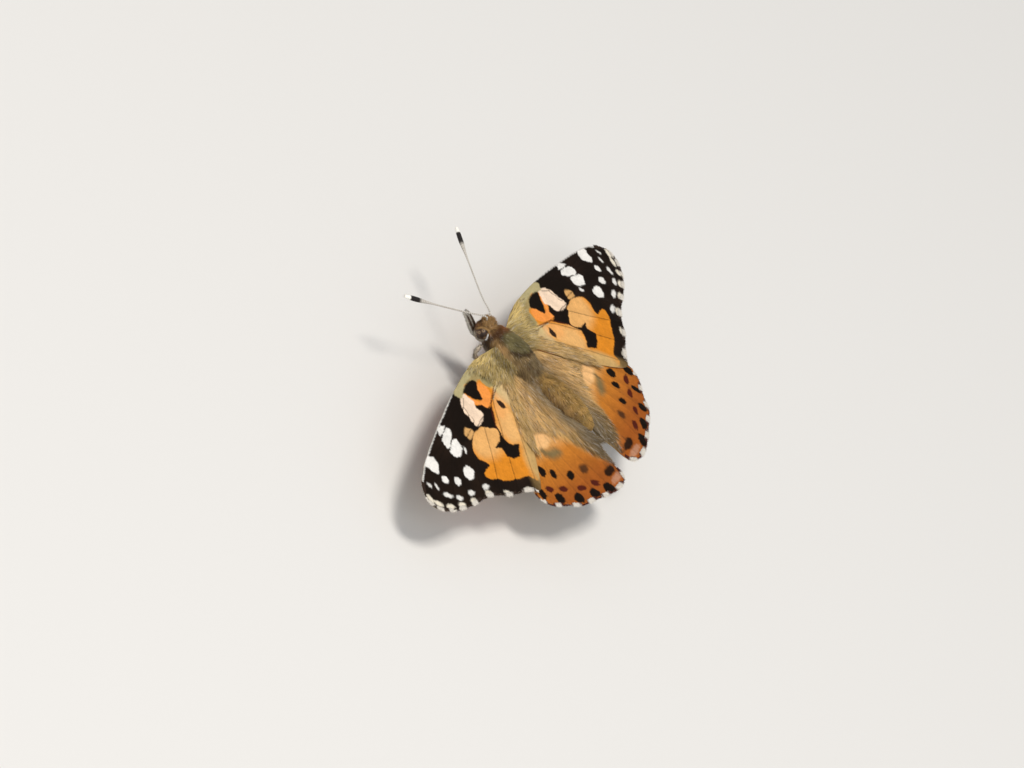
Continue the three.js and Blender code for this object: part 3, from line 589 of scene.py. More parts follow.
def add_piece(name, points, faces, material, colours=None, uv=None, hides=(),
              facing=None):
    """A mesh piece of the animal, with smooth shading, colours and its own flat map.

    facing gives each point the direction it is shaded from, where that isn't the mesh's own.
    """
    mesh = bpy.data.meshes.new(name)
    mesh.from_pydata(points.tolist(), [], faces.tolist())
    mesh.shade_smooth()
    if colours is not None:
        layer = mesh.attributes.new("Tint", "FLOAT_COLOR", "POINT")
        rgba = np.column_stack([colours, np.ones(len(points))]).astype(np.float32)
        layer.data.foreach_set("color", rgba.ravel())
    if uv is not None:
        layer = mesh.uv_layers.new(name="OFBake")
        layer.data.foreach_set("uv", np.asarray(uv, np.float32)[faces.ravel()].ravel())
    mesh.validate()
    if facing is not None:
        mesh.normals_split_custom_set_from_vertices(facing.tolist())
    mesh.materials.append(material)
    piece = add_object(name, mesh)
    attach(piece, BODY)
    if hides:
        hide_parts(*hides)


def add_both(name, points, faces, material, colours, uv, nodes):
    """The same piece on the right and on the left, each in place of its side's nodes."""
    for side, label in SIDES:
        add_piece(f"{name}_{label}", to_metres(points, side), faces[:, ::side], material,
                  colours, uv, [f"{node}_{label}" for node in nodes])


# Materials

def feed(tree, node, inputs):
    """Sets a node's inputs to values, or links them to the outputs of other nodes."""
    for name, source in inputs.items():
        if isinstance(source, bpy.types.NodeSocket):
            tree.links.new(source, node.inputs[name])
        else:
            node.inputs[name].default_value = source


def feed_shader(holder, inputs, shader="Principled BSDF"):
    """Sets the inputs of the shader of a material, or of another one."""
    holder.use_nodes = True
    feed(holder.node_tree, holder.node_tree.nodes[shader], inputs)


def add_node(tree, kind, output, inputs=None):
    """One output of a new node."""
    node = tree.nodes.new("ShaderNode" + kind)
    feed(tree, node, inputs or {})
    return node.outputs[output]


def node_material(name, roughness, grain, grain_strength, colour=None, sheen=0,
                  specular=0.3, variation=0.12):
    """A scaled or hairy surface: its colour with fine mottling, and grain as bump."""
    material = bpy.data.materials.new(name)
    material.use_nodes = True
    tree = material.node_tree
    place = add_node(tree, "TexCoord", "Object")
    speckle = add_node(tree, "TexNoise", "Fac",
                       {"Vector": place, "Scale": 1 / (grain * MM), "Detail": 2})
    if colour is None:
        base = add_node(tree, "Attribute", "Color")
        base.node.attribute_name = "Tint"
    else:
        base = add_node(tree, "RGB", "Color")
        base.default_value = (*colour, 1)
    level = add_node(tree, "MapRange", "Result", {
        "Value": speckle, "To Min": 1 - variation, "To Max": 1 + variation})
    mottled = add_node(tree, "VectorMath", "Vector")
    mottled.node.operation = "SCALE"
    feed(tree, mottled.node, {"Vector": base, "Scale": level})
    bump = add_node(tree, "Bump", "Normal", {
        "Strength": grain_strength, "Distance": grain * MM * 0.5, "Height": speckle})
    feed_shader(material, {
        "Base Color": mottled, "Roughness": roughness, "Specular IOR Level": specular,
        "Sheen Weight": sheen, "Sheen Roughness": 0.5, "Normal": bump})
    return material


def eye_material():
    """A mottled compound eye: brown with pale and dark bands, and fine facets."""
    material = node_material("eye", 0.36, 0.05, 0.25, EYE_BROWN, specular=0.35, variation=0.2)
    tree = material.node_tree
    place = add_node(tree, "TexCoord", "Object")
    patches = add_node(tree, "TexVoronoi", "Distance",
                       {"Vector": place, "Scale": 1 / (0.38 * MM), "Randomness": 1})
    bands = add_node(tree, "ValToRGB", "Color", {"Fac": patches})
    stops = [(0, srgb(40, 28, 20)), (0.16, srgb(52, 38, 28)), (0.3, srgb(158, 134, 102)),
             (0.46, srgb(86, 62, 42)), (0.8, srgb(44, 31, 23))]
    elements = bands.node.color_ramp.elements
    while len(elements) < len(stops):
        elements.new(0.5)
    for element, (position, colour) in zip(elements, stops):
        element.position = position
        element.color = (*colour, 1)
    feed_shader(material, {"Base Color": bands})
    return material


WING_SURFACE = node_material("wing_scales", 0.8, 0.09, 0.5, specular=0.05)
SKIN = node_material("skin_under_fur", 0.8, 0.12, 0.6)
FUR = node_material("fur", 0.7, 0.2, 0.1, sheen=0.05, specular=0.12, variation=0.14)
HORN = node_material("scaled_limb", 0.55, 0.07, 0.5, specular=0.35)
EYE = eye_material()
CLAW = node_material("claw", 0.35, 0.06, 0.5, HORN_BROWN, specular=0.4)


# Wings

def wing_field(margin):
    """Points and triangles that fill a margin evenly, in plan."""
    low, high = margin.min(axis=0), margin.max(axis=0)
    ts = np.arange(low[1], high[1], GRAIN * 0.87)
    x, t = np.meshgrid(np.arange(low[0], high[0], GRAIN), ts)
    x = x + GRAIN / 2 * (np.arange(len(ts)) % 2)[:, None]
    x, t = x.ravel(), t.ravel()
    x = x + 0.2 * GRAIN * (rng.random(len(x)) - 0.5)
    keep = inside(margin, x, t) & (distance_to(margin, x, t, closed=True) > GRAIN * 0.6)
    points = np.vstack([margin, columns(x[keep], t[keep])])
    count = len(margin)
    edges = [(i, (i + 1) % count) for i in range(count)]
    result = delaunay_2d_cdt([Vector(p) for p in points], edges, [list(range(count))], 1, 1e-6)
    corners, faces = np.array([tuple(v) for v in result[0]]), np.array(result[2])
    a, b, c = (corners[faces[:, k]] for k in range(3))
    area = (b - a)[:, 0] * (c - a)[:, 1] - (b - a)[:, 1] * (c - a)[:, 0]
    return corners, np.where(area[:, None] > 0, faces[:, ::-1], faces)


def rim_of(faces):
    """The open edges of a sheet, each as its two points in the order its face has them."""
    edges = np.vstack([faces[:, [0, 1]], faces[:, [1, 2]], faces[:, [2, 0]]])
    keys = np.sort(edges, axis=1)
    _, first, counts = np.unique(keys, axis=0, return_index=True, return_counts=True)
    return edges[first[counts == 1]]


def relief(x, t, wing):
    """Height of the veins above the membrane, and the shallow hollows between them."""
    nearest = np.full(len(x), 9.0)
    for vein in wing["veins"]:
        nearest = np.minimum(nearest, distance_to(spline(vein, 0.5), x, t))
    height = VEIN_RELIEF * np.exp(-(nearest / VEIN_WIDTH) ** 2)
    height -= 0.1 * ramp(0.1, 1.1, nearest)
    height += 0.03 * noise(x, t, 2.5, 61)
    if wing is FOREWING:
        height += 0.05 * np.exp(-(distance_to(spline(wing["veins"][0]), x, t) / 0.3) ** 2)
    return height


def wing_map(x, t):
    """Places of the wings on their flat map."""
    return columns(x / MAP_SPAN * 0.94 + 0.02, (t + 1.5) / MAP_SPAN * 0.94 + 0.01)


def wing_piece(wing):
    plan, faces = wing_field(spline(wing["margin"], 0.14))
    x, t = plan.T
    top = wing["top"](x, t) + relief(x, t, wing) - 0.03
    rim = rim_of(faces)
    below = rim + len(plan)
    faces = np.vstack([faces, faces[:, ::-1] + len(plan),
                       columns(rim[:, 1], rim[:, 0], below[:, 0]),
                       columns(rim[:, 1], below[:, 0], below[:, 1])])
    places = np.vstack([columns(x, t, top), columns(x, t, top - SHEET)])
    tint = np.vstack([wing["upper"](x, t), wing["under"](x, t)])
    uv = np.vstack([wing_map(x, t), wing_map(x, t) + wing["underside_map"]])
    kind = wing["kind"]
    add_both(f"{kind}_sheet", places, faces, WING_SURFACE, tint, uv, [kind])


# Tufts

def tufts(roots, normals, lie, length, width, lift):
    """Thin curved blades of three sides that grow from roots and lean along lie.

    Returns points, faces, the tuft that each point belongs to and the direction each point
    is shaded from, which follows the skin below so that the fur takes light evenly.
    """
    n = len(roots)
    length, width, lift = (v[:, None] for v in (length, width, lift))
    along = unit(lie - normals * np.sum(lie * normals, axis=1, keepdims=True))
    across = np.cross(normals, along)
    lean = along * np.sqrt(1 - 0.5 * lift)
    rows, facing = [], []
    for share, thick in ((0, 0.8), (0.5, 1)):
        climb = lift * share - 0.25 * lift * share * share
        centre = roots + length * (lean * share + normals * climb)
        for turn in (-1, 0, 1):
            side = across * turn * 0.5 + normals * (0.3 if turn == 0 else -0.08)
            rows.append(centre + side * width * thick)
            facing.append(normals + 0.6 * turn * across)
    rows.append(roots + length * (lean + normals * lift * 0.75))
    facing.append(normals + 0.3 * along)
    pattern = [(0, 1, 2)]
    for a, b in ((0, 1), (1, 2), (2, 0)):
        pattern += [(a, a + 3, b + 3), (a, b + 3, b), (a + 3, 6, b + 3)]
    faces = np.arange(n)[:, None, None] * TUFT_POINTS + np.array(pattern)
    points, facing = (np.stack(v, axis=1).reshape(-1, 3) for v in (rows, facing))
    return points, faces.reshape(-1, 3), np.repeat(np.arange(n), TUFT_POINTS), unit(facing)


# Each tuft has a patch of the flat map at its root's place
TUFT_PATCH = 0.001 * np.array(
    [(0, 0), (1.5, 0), (3, 0), (0, 1.5), (1.5, 1.5), (3, 1.5), (1.5, 3)])
# Tints darken at the root, where less light comes
TUFT_SHADE = [0.8, 0.8, 0.8, 1, 1, 1, 1.1]


def add_tufts(name, slot, side, places, normals, lie, length, width, lift, tint, flat):
    """A coat piece, split where it would grow too large. Sizes are in millimetres."""
    count = len(places)
    roots = to_metres(places, side)
    normals, lie = in_frame(normals, side), in_frame(lie, side)
    sizes = [np.broadcast_to(v, count) for v in (length * MM, width * MM, lift)]
    parts = math.ceil(count / MOST_TUFTS)
    for k in range(parts):
        pick = slice(k, None, parts)
        points, faces, owner, facing = tufts(roots[pick], normals[pick], lie[pick],
                                             *(v[pick] for v in sizes))
        points[:, 2] = np.maximum(points[:, 2], CLEAR_OF_FLOOR * MM)
        shade = np.tile(TUFT_SHADE, len(roots[pick]))
        uv = flat[pick][owner] + np.tile(TUFT_PATCH, (len(roots[pick]), 1))
        add_piece(name if parts == 1 else f"{name}_{k + 1}", points, faces, FUR,
                  tint[pick][owner] * shade[:, None], uv, facing=facing)


def add_both_tufts(name, slot, places, normals, lie, sizes, tint, flat):
    """Tufts on the right and on the left. sizes draws their length, width and lift."""
    for side, label in SIDES:
        add_tufts(f"{name}_{label}", slot, side, places, normals, lie, *sizes(), tint, flat)


def wing_hair(wing, count):
    """Soft hair that streams back from the root over the upper side of a wing, in locks."""
    in_front = wing is FOREWING
    x = rng.uniform(0.9, 11 if in_front else 10, count * 6)
    t = rng.uniform(*((-0.8, 14) if in_front else (3, 21)), count * 6)
    margin = spline(wing["margin"], 0.3)
    thick = wing["hair_share"](x, t)
    keep = inside(margin, x, t) & (rng.random(len(x)) < thick ** 1.3)
    if not in_front:
        keep &= behind_forewing(x, t) > 0.2
    x, t, thick = x[keep][:count], t[keep][:count], thick[keep][:count]
    n = len(x)
    step = 0.05
    here = wing["top"](x, t)
    slope_x = (wing["top"](x + step, t) - here) / step
    slope_t = (wing["top"](x, t + step) - here) / step
    root = ramp(2.8, 1.6, x)
    here = here + relief(x, t, wing) + 0.12 * root
    if in_front:
        lie = columns(0.75 + 0.02 * x, 0.12 + 0.14 * t, 0)
    else:
        lie = columns(0.04 + 0.09 * x - 0.7 * ramp(3, 1.7, x), 1, 0)
    lock = streaks(x, t, 45)
    for way in (0, 1):
        lie[:, way] += 0.2 * noise(x, t, 1.6, 46 + way) + 0.07 * rng.standard_normal(n)
    to_edge = distance_to(margin, x, t, closed=True)
    length = (1.2 + 1.2 * rng.random(n)) * (0.5 + 0.6 * thick)
    length *= np.where(t > 15, 0.3 + 0.7 * ramp(0.3, 2.5, to_edge), 1)
    chance = rng.random(n)
    ground = mix(wing["hair_colour"](x, t), wing["upper"](x, t), 0.9 - 0.5 * thick)
    # Darker against the body, and towards the rear of the hindwing
    depth = (0.62 + 0.38 * ramp(2, 5, x)) * (1 - 0.4 * ramp(11, 15, t))
    tint = ground * (depth * (0.96 + 0.4 * lock + 0.26 * (rng.random(n) - 0.5)))[:, None]
    tint = np.where((chance < 0.07)[:, None], FLECK * 0.85, tint)
    tint = np.where((chance > 0.89)[:, None], mix(tint, WHITE, 0.3), tint)
    add_both_tufts(
        f"{wing['kind']}_hair", wing["kind"], columns(x, t, here - 0.05),
        unit(columns(-slope_x, -slope_t, 1)), lie,
        lambda: (length, 0.06, rng.uniform(0.08, 0.2, n) + 0.05 * lock + 0.15 * root),
        tint, wing_map(x, t))


def fringe(wing):
    """Scales that stand out from the rear margin, white between the ends of the veins."""
    margin = spline(wing["margin"], 0.05)
    first, last = (np.argmin(np.hypot(*(margin - p).T)) for p in wing["termen"])
    run = margin[first:last + 1]
    tangent = unit(np.gradient(run, axis=0))
    out = columns(tangent[:, 1], -tangent[:, 0])
    picks = [np.arange(layer % 2, len(run)) for layer in range(5)]
    plan = np.vstack([run[pick] - out[pick] * (0.3 - 0.05 * layer)
                      for layer, pick in enumerate(picks)])
    out = np.vstack([out[pick] for pick in picks])
    plan += 0.03 * rng.standard_normal(plan.shape)
    x, t = plan.T
    n = len(x)
    nearest = np.min([np.hypot(x - cx, t - ct) / reach for cx, ct, reach in wing["white"]], axis=0)
    share = 1 - ramp(0.75, 1.3, nearest + 0.3 * noise(x, t, 0.25, 71))
    tint = mix(wing["dark"], FRINGE_WHITE, share) * (0.8 + 0.3 * rng.random(n))[:, None]
    z = wing["top"](x, t) - 0.08 - 0.05 * rng.random(n)
    lie = columns(*(out + 0.12 * rng.standard_normal((n, 2))).T, 0)
    length = rng.uniform(0.3, 0.52, n) * (0.75 + 0.3 * share)
    add_both_tufts(
        f"{wing['kind']}_fringe", wing["kind"], columns(x, t, z), np.tile([0, 0, 1], (n, 1)), lie,
        lambda: (length, 0.09, rng.uniform(-0.05, 0.08, n)), tint, wing_map(x, t))


# Body. A trunk's sections each have t, half width, half height and the z of their middle.

THORAX = [
    (-0.9, 0.8, 0.9, -0.35), (-0.6, 1.1, 1.15, -0.36), (0.3, 1.5, 1.45, -0.4),
    (1.4, 1.74, 1.66, -0.43), (2.6, 1.8, 1.74, -0.45), (3.8, 1.66, 1.58, -0.47),
    (4.7, 1.38, 1.26, -0.5), (5.6, 1.12, 1, -0.5), (6.6, 0.98, 0.94, -0.5)]
ABDOMEN = [
    (5.9, 0.7, 0.7, -0.5), (6.6, 0.98, 0.96, -0.5), (7.4, 1.2, 1.16, -0.46),
    (9, 1.32, 1.3, -0.4), (10.6, 1.26, 1.26, -0.36), (12, 1.06, 1.08, -0.4),
    (13.2, 0.74, 0.8, -0.5), (14, 0.42, 0.46, -0.65), (14.3, 0.2, 0.2, -0.7)]
NECK = [(-1.7, 0.9, 0.95, -0.34), (-1.1, 1.02, 1.06, -0.34), (-0.3, 1.25, 1.25, -0.38)]
ABDOMEN_RING = 1.15  # length of one ring of the abdomen
HEAD_CENTRE = (0, -1.82, -0.36)
HEAD_SIZE = (1.12, 0.86, 1.16)
EYE_CENTRE = (0.9, -1.7, -0.42)
EYE_SIZE = (0.6, 0.72, 0.8)
STREAK = ((1.16, -1.16, 0.16), (1.06, -0.92, -0.5))  # white line behind the eye
SKIN_VOXEL = 0.06
BODY_START = -3.2
BODY_LENGTH = 18
FUR_TUFTS = 46000


def ring_mesh(rings):
    """Points and triangles that join rings of points and close both ends."""
    count, sides = rings.shape[:2]
    points = np.vstack([rings.reshape(-1, 3), rings[0].mean(axis=0), rings[-1].mean(axis=0)])
    k = np.arange(sides)
    after = (k + 1) % sides
    start = np.arange(count - 1)[:, None] * sides
    a, b = start + k, start + after
    ends = (count - 1) * sides
    faces = [np.stack([a, b, b + sides], -1), np.stack([a, b + sides, a + sides], -1),
             columns(after, k, count * sides), columns(ends + k, ends + after, count * sides + 1)]
    return points, np.vstack([f.reshape(-1, 3) for f in faces])


def loft(stations, sides=48):
    """A closed trunk through elliptic sections."""
    ts, *sizes = (np.array(column) for column in zip(*stations))
    rows = np.linspace(ts[0], ts[-1], max(8, int((ts[-1] - ts[0]) / 0.12)))
    turn = np.linspace(0, 2 * np.pi, sides, endpoint=False)
    w, h, z = (np.interp(rows, ts, v)[:, None] for v in sizes)
    return ring_mesh(np.stack([w * np.cos(turn), rows[:, None] + 0 * turn,
                               z + h * np.sin(turn)], axis=2))


def ball(centre, size, sides=40):
    """An ellipsoid as points and triangles."""
    down = np.linspace(0.02, np.pi - 0.02, sides // 2)[:, None]
    turn = np.linspace(0, 2 * np.pi, sides, endpoint=False)
    rings = np.stack([np.sin(down) * np.cos(turn), np.cos(down) + 0 * turn,
                      np.sin(down) * np.sin(turn)], axis=2)
    return ring_mesh(rings * np.array(size) * (1, -1, 1) + np.array(centre))


def body_map(x, t, z):
    """The skin unrolled round the body's long axis."""
    turn = np.arctan2(x, z + 0.4) / (2 * np.pi) + 0.5
    return columns(turn * 0.95 + 0.02, (t - BODY_START) / BODY_LENGTH * 0.95 + 0.02)


def body_colours(x, t, z):
    """Markings of the body, for its skin and its fur alike."""
    dapple = noise(x, t, 0.5, 81)
    # A dome with a dark rim, wide in front and closed behind
    dome = np.hypot(x / 1.35, (t - 1.2) / 2) + 0.1 * dapple
    thorax = mix(THORAX_TOP, THORAX_SIDE, ramp(1, 1.2, dome),
                 THORAX_REAR, ramp(3, 3.8, t + 0.5 * dapple + 0.2 * np.abs(x)),
                 THORAX_RIM, 0.95 * np.exp(-((dome - 0.98) / 0.14) ** 2))
    rings = 0.5 + 0.5 * np.cos(2 * np.pi * (t - 6.6) / ABDOMEN_RING)
    abdomen = mix(ABDOMEN_TOP, ABDOMEN_DARK, np.clip(0.5 * rings + 0.6 * dapple, 0, 1) * 0.6)
    # Dark front of the thorax with a red-brown collar, stronger on the right; the weaker collar on
    # the left is painted shade
    front = 1 - ramp(-0.6, 0.3, t + 0.4 * dapple)
    # The collar's share falls to 0.3 on the left, painted shade on that side of the neck
    collar_share_with_left_shade = ramp(-0.2, 0.8, z + 0.3 * dapple) * (0.3 + 0.6 * ramp(-0.4, 0.8, x))
    in_head = 1 - ramp(-1.3, -0.9, t)
    patches = ramp(0, 0.35, noise(x + 2 * t, z + t, 0.4, 84))
    head = mix(FACE, mix(COLLAR, CHEEK, ramp(-0.3, 0.3, noise(t, z, 0.5, 85))), 0.6 * patches,
               CHEEK, ramp(-0.9, -1.3, z),
               CROWN * (1 + 0.3 * dapple)[:, None], ramp(-0.15, 0.4, z + 0.15 * dapple))
    return mix(thorax, abdomen, ramp(5.2, 6.4, t), THORAX_RIM, front, COLLAR, front * collar_share_with_left_shade,
               head, in_head, BELLY, ramp(-0.1, -0.75, (z + 0.4) / 1.8) * (1 - in_head))


def body_skin():
    """One skin over head, thorax and abdomen. Returns its triangles in x, t, z."""
    points, faces, start = [], [], 0
    for body_points, body_faces in [loft(THORAX), loft(ABDOMEN), loft(NECK),
                                    ball(HEAD_CENTRE, HEAD_SIZE)]:
        points.append(body_points)
        faces.append(body_faces + start)
        start += len(body_points)
    raw = bpy.data.meshes.new("raw_body")
    raw.from_pydata(np.vstack(points).tolist(), [], np.vstack(faces).tolist())
    holder = add_object("raw_body", raw)
    remesh = holder.modifiers.new("one_skin", "REMESH")
    remesh.mode = "VOXEL"
    remesh.voxel_size = SKIN_VOXEL
    smooth = holder.modifiers.new("even", "SMOOTH")
    smooth.iterations = 12
    smooth.factor = 0.6
    seen = holder.evaluated_get(bpy.context.evaluated_depsgraph_get()).to_mesh()
    seen.calc_loop_triangles()
    points = np.array([tuple(vertex.co) for vertex in seen.vertices])
    faces = np.array([tuple(triangle.vertices) for triangle in seen.loop_triangles])
    bpy.data.objects.remove(holder)
    bpy.data.meshes.remove(raw)
    # The mesh was built in x, t, z, which is the mirror image of the frame
    # The skin takes the body's markings at 0.6 of their brightness, painted shade under the fur
    add_piece("body_skin", to_metres(points), faces[:, ::-1], SKIN,
              body_colours(*points.T) * 0.6, body_map(*points.T), ["head", "thorax", "abdomen"])
    return points, faces


def scatter(points, faces, count):
    """Evenly random places on a surface, with its normals there."""
    a, b, c = (points[faces[:, k]] for k in range(3))
    normal = np.cross(b - a, c - a)
    area = np.linalg.norm(normal, axis=1)
    pick = rng.choice(len(faces), count, p=area / area.sum())
    u, v = rng.random((2, count))
    u, v = np.where(u + v > 1, (1 - u, 1 - v), (u, v))
    places = a[pick] + (b - a)[pick] * u[:, None] + (c - a)[pick] * v[:, None]
    return places, normal[pick] / area[pick][:, None]


def body_fur(points, faces):
    """Fur in locks over the whole body, longest where the wings join it."""
    places, normal = scatter(points, faces, FUR_TUFTS)
    # None under the eyes or on their rims
    from_eye = places * (0, 1, 1) + np.abs(places) * (1, 0, 0) - EYE_CENTRE
    keep = np.linalg.norm(from_eye / EYE_SIZE, axis=1) >= 1.04
    places, normal = places[keep], normal[keep]
    x, t, z = places.T
    n = len(x)
    head = t < -1.15
    neck = (t > -1.15) & (t < 0.1)
    crown = head & (z > 0.1)
    face = head & ~crown
    abdomen = t > 6.2
    lock = noise(x, t * 0.45, 0.25, 82) + 0.6 * noise(x, t * 0.6, 0.55, 83)
    # The flank sends long hair out over the wing bases and the inner edge of the hindwings
    flank = ramp(0.8, 1.3, np.abs(x)) * ramp(-0.7, -0.2, z) * (1 - ramp(0.35, 0.8, z))
    flank = flank * ramp(-0.9, -0.1, t) * (1 - ramp(11.5, 13.5, t))
    length = 0.6 + 0.35 * rng.random(n)
    length += flank * np.where(abdomen, 0.45, 0.9) * (0.5 + rng.random(n))
    length = np.where(crown | neck, 0.5 + 0.35 * rng.random(n), length)
    length = np.where(face, 0.3 + 0.25 * rng.random(n), length)
    length *= 1 - 0.5 * ramp(13.2, 14.3, t)
    lift = 0.36 + 0.2 * rng.random(n) + 0.12 * lock - 0.1 * flank
    lift += 0.55 * flank * np.exp(-((z - 0.12) / 0.3) ** 2)
    for part, least, spread in [(crown, 0.75, 0.3), (neck, 0.7, 0.3), (face, 0.5, 0.3)]:
        lift = np.where(part, least + spread * rng.random(n), lift)
    lie = columns((0.45 + 0.4 * flank) * x, 1, -0.15)
    lie[crown] = columns(0.35 * x, -0.2, 0.7)[crown]
    lie[face] = columns(0.2 * x, -0.9, -0.3)[face]
    lie[:, 0] += np.where(head, 0.1, 0.35) * noise(x, t, 0.6, 86)
    lie += np.where(head, 0.3, 0.18)[:, None] * rng.standard_normal((n, 3))
    # Long hair takes the colour of the wing below it, darker on the left as painted shade
    wing_tone_and_left_shade = mix(GOLDEN * 0.8, THORAX_SIDE, ramp(0.4, 1.8, t), GOLDEN * 0.7, ramp(5, 7, t))
    # Painted shade: the long hair on the left side is darkened to 0.72
    wing_tone_and_left_shade *= np.where(x > 0, 1, 0.72)[:, None]
    tint = mix(body_colours(x, t, z), wing_tone_and_left_shade, 0.85 * flank)
    tint = tint * (0.88 + 0.26 * lock + 0.3 * (rng.random(n) - 0.5))[:, None]
    # Brighter towards the tail end: painted light that lifts the shade on the abdomen's rear
    tint *= (1 + 0.3 * ramp(9.5, 13.5, t))[:, None]
    chance = rng.random(n)
    tint = np.where(((chance < 0.1) & (t > 3))[:, None], FLECK, tint)
    tint = np.where((chance > 0.93)[:, None], mix(tint * 1.3, WHITE, 0.12), tint)
    width = np.where(head, 0.06, 0.075)
    for name, part in (("head_fur", head), ("thorax_fur", ~head & ~abdomen),
                       ("abdomen_fur", abdomen)):
        add_tufts(name, name, 1, places[part] - 0.04 * normal[part], normal[part], lie[part],
                  length[part], width[part], lift[part], tint[part], body_map(*places[part].T))


# Eyes and limbs

def eyes():
    points, faces = ball(EYE_CENTRE, EYE_SIZE, 72)
    uv = 0.5 + 0.45 * (points - EYE_CENTRE)[:, 1:]
    add_both("eye_ball", points, faces[:, ::-1], EYE, None, uv, ["eye"])


def eye_rims():
    """Short scales round each eye, with a white line down its rear edge."""
    rim, streak = 1100, 220
    turn = rng.uniform(0, 2 * np.pi, rim)
    near = 0.98 + 0.12 * rng.random(rim)
    cos, sin = np.cos(turn), np.sin(turn)
    start, course = np.array(STREAK[0]), np.subtract(STREAK[1], STREAK[0])
    line = start + rng.random(streak)[:, None] * course
    places = np.vstack([
        columns(0.98, EYE_CENTRE[1] + near * EYE_SIZE[1] * cos,
                EYE_CENTRE[2] + near * EYE_SIZE[2] * sin),
        line + 0.02 * rng.standard_normal((streak, 3))])
    lie = np.vstack([columns(0.5, 0.3 * cos + 0.5 * np.abs(sin), 0.3 * sin - 0.2),
                     np.tile(course, (streak, 1))])
    outward = np.vstack([unit(columns(1, 0.6 * cos, 0.6 * sin)),
                         np.tile((0.9, 0.3, 0.1), (streak, 1))])
    tint = mix(FACE, CHEEK, ramp(0.1, -0.6, sin), CROWN, ramp(0, 0.5, sin))
    tint = np.vstack([tint, np.tile(WHITE, (streak, 1))])
    n = rim + streak
    lie += 0.1 * rng.standard_normal(lie.shape)
    tint = tint * (0.8 + 0.4 * rng.random(n))[:, None]
    add_both_tufts("eye_rim", "head_fur", places, outward, lie,
                   lambda: (rng.uniform(0.26, 0.4, n), 0.06, rng.uniform(0.3, 0.7, n)),
                   tint, body_map(*places.T))


def tube(path, radii, sides=LIMB_SIDES, flatten=1):
    """A round limb along a path, with a radius for each share of its length."""
    ahead = unit(np.gradient(path, axis=0))
    side = unit(np.cross(ahead, (0.1, 0.2, 1)))
    up = np.cross(side, ahead)
    gone = np.concatenate([[0], np.cumsum(np.linalg.norm(np.diff(path, axis=0), axis=1))])
    share = gone / gone[-1]
    radius = np.interp(share, np.linspace(0, 1, len(radii)), radii)[:, None, None]
    turn = np.linspace(0, 2 * np.pi, sides, endpoint=False)[None, :, None]
    ring = side[:, None] * np.cos(turn) + up[:, None] * np.sin(turn) * flatten
    points, faces = ring_mesh(path[:, None] + ring * radius)
    return points, faces[:, ::-1], np.concatenate([np.repeat(share, sides), [0, 1]])


def limb_map(where, row):
    """A strip of the flat map for a limb, along its length."""
    turn = np.arange(len(where)) % LIMB_SIDES / LIMB_SIDES
    return columns(0.02 + 0.96 * where, row + 0.08 * turn)


def limb(name, slot, path, radii, row, core, coat=None):
    """The core of a limb, and the short scales or hair that lie along it and hide it.

    core is the core's material and colours. coat is the coat's label, colours, count,
    length, width and lift.
    """
    points, faces, where = tube(path, radii)
    points[:, 2] = np.maximum(points[:, 2], FLOOR + CLEAR_OF_FLOOR)
    material, colours = core
    add_both(f"{name}_core", points, faces, material, colours(points),
             limb_map(where, row), [name])
    if not coat:
        return
    label, colours, count, length, width, lift = coat
    places, _ = scatter(points, faces, count)
    nearest = np.array([np.argmin(np.sum((path - p) ** 2, axis=1)) for p in places])
    ahead = unit(np.gradient(path, axis=0))
    lie = ahead[nearest] + 0.15 * rng.standard_normal((count, 3))
    tint = colours(places) * (0.75 + 0.5 * rng.random(count))[:, None]
    flat = columns(0.02 + 0.95 * nearest / (len(path) - 1), row + 0.08 * rng.random(count))
    lengths = length * (0.7 + 0.6 * rng.random(count))
    add_both_tufts(f"{name}_{label}", slot, places, unit(places - path[nearest]), lie,
                   lambda: (lengths, width, lift * (0.5 + rng.random(count))), tint, flat)


FEELER = [
    (0.42, -2.2, 0.4), (0.45, -2.3, 0.9), (0.56, -2.48, 1.22), (0.95, -2.95, 1.3),
    (1.95, -4, 1.16), (4.4, -6.35, 1.14), (7.2, -9.05, 1.2), (9.4, -11.15, 1.32)]
FEELER_RADII = [0.13, 0.11, 0.1, 0.095, *[0.09] * 7, 0.095, 0.1, 0.12, 0.16, 0.23, 0.29, 0.3,
                0.28, 0.2]
FEELER_LENGTH = 13.4
FEELER_RING = 0.28  # length of one ring of a feeler's shaft
PALP = [(0.36, -1.9, -1.5), (0.42, -2.5, -1.4), (0.44, -3.1, -1.1), (0.44, -3.65, -0.8),
        (0.43, -4.1, -0.58), (0.4, -4.58, -0.44)]
LEGS = {
    "midleg": [(1, 1.9, -1.6), (1.3, 1.9, -2.1), (4.9, 1.3, -2.15), (7.2, 1.6, FLOOR + 0.22),
               (10.9, 1.9, FLOOR + 0.13)],
    "hindleg": [(0.5, 4.2, -1.9), (0.75, 4.35, -2.4), (3.8, 7, -3.6), (5.6, 9.1, FLOOR + 0.22),
                (8.1, 11.9, FLOOR + 0.13)]}
LEG_RADII = {"thigh": [0.26, 0.32, 0.3, 0.22], "shin": [0.2, 0.22, 0.19, 0.16],
             "foot": [0.15, 0.12, 0.14, 0.11, 0.13, 0.1, 0.12, 0.1, 0.11, 0.09, 0.1, 0.07]}
FORELEG = [(0.75, 0.8, -1.6), (0.9, 0.6, -2.3), (1.6, 0.05, -2.72), (2.05, -0.5, -2.55),
           (2.05, -0.8, -2.1), (1.75, -0.88, -1.45)]


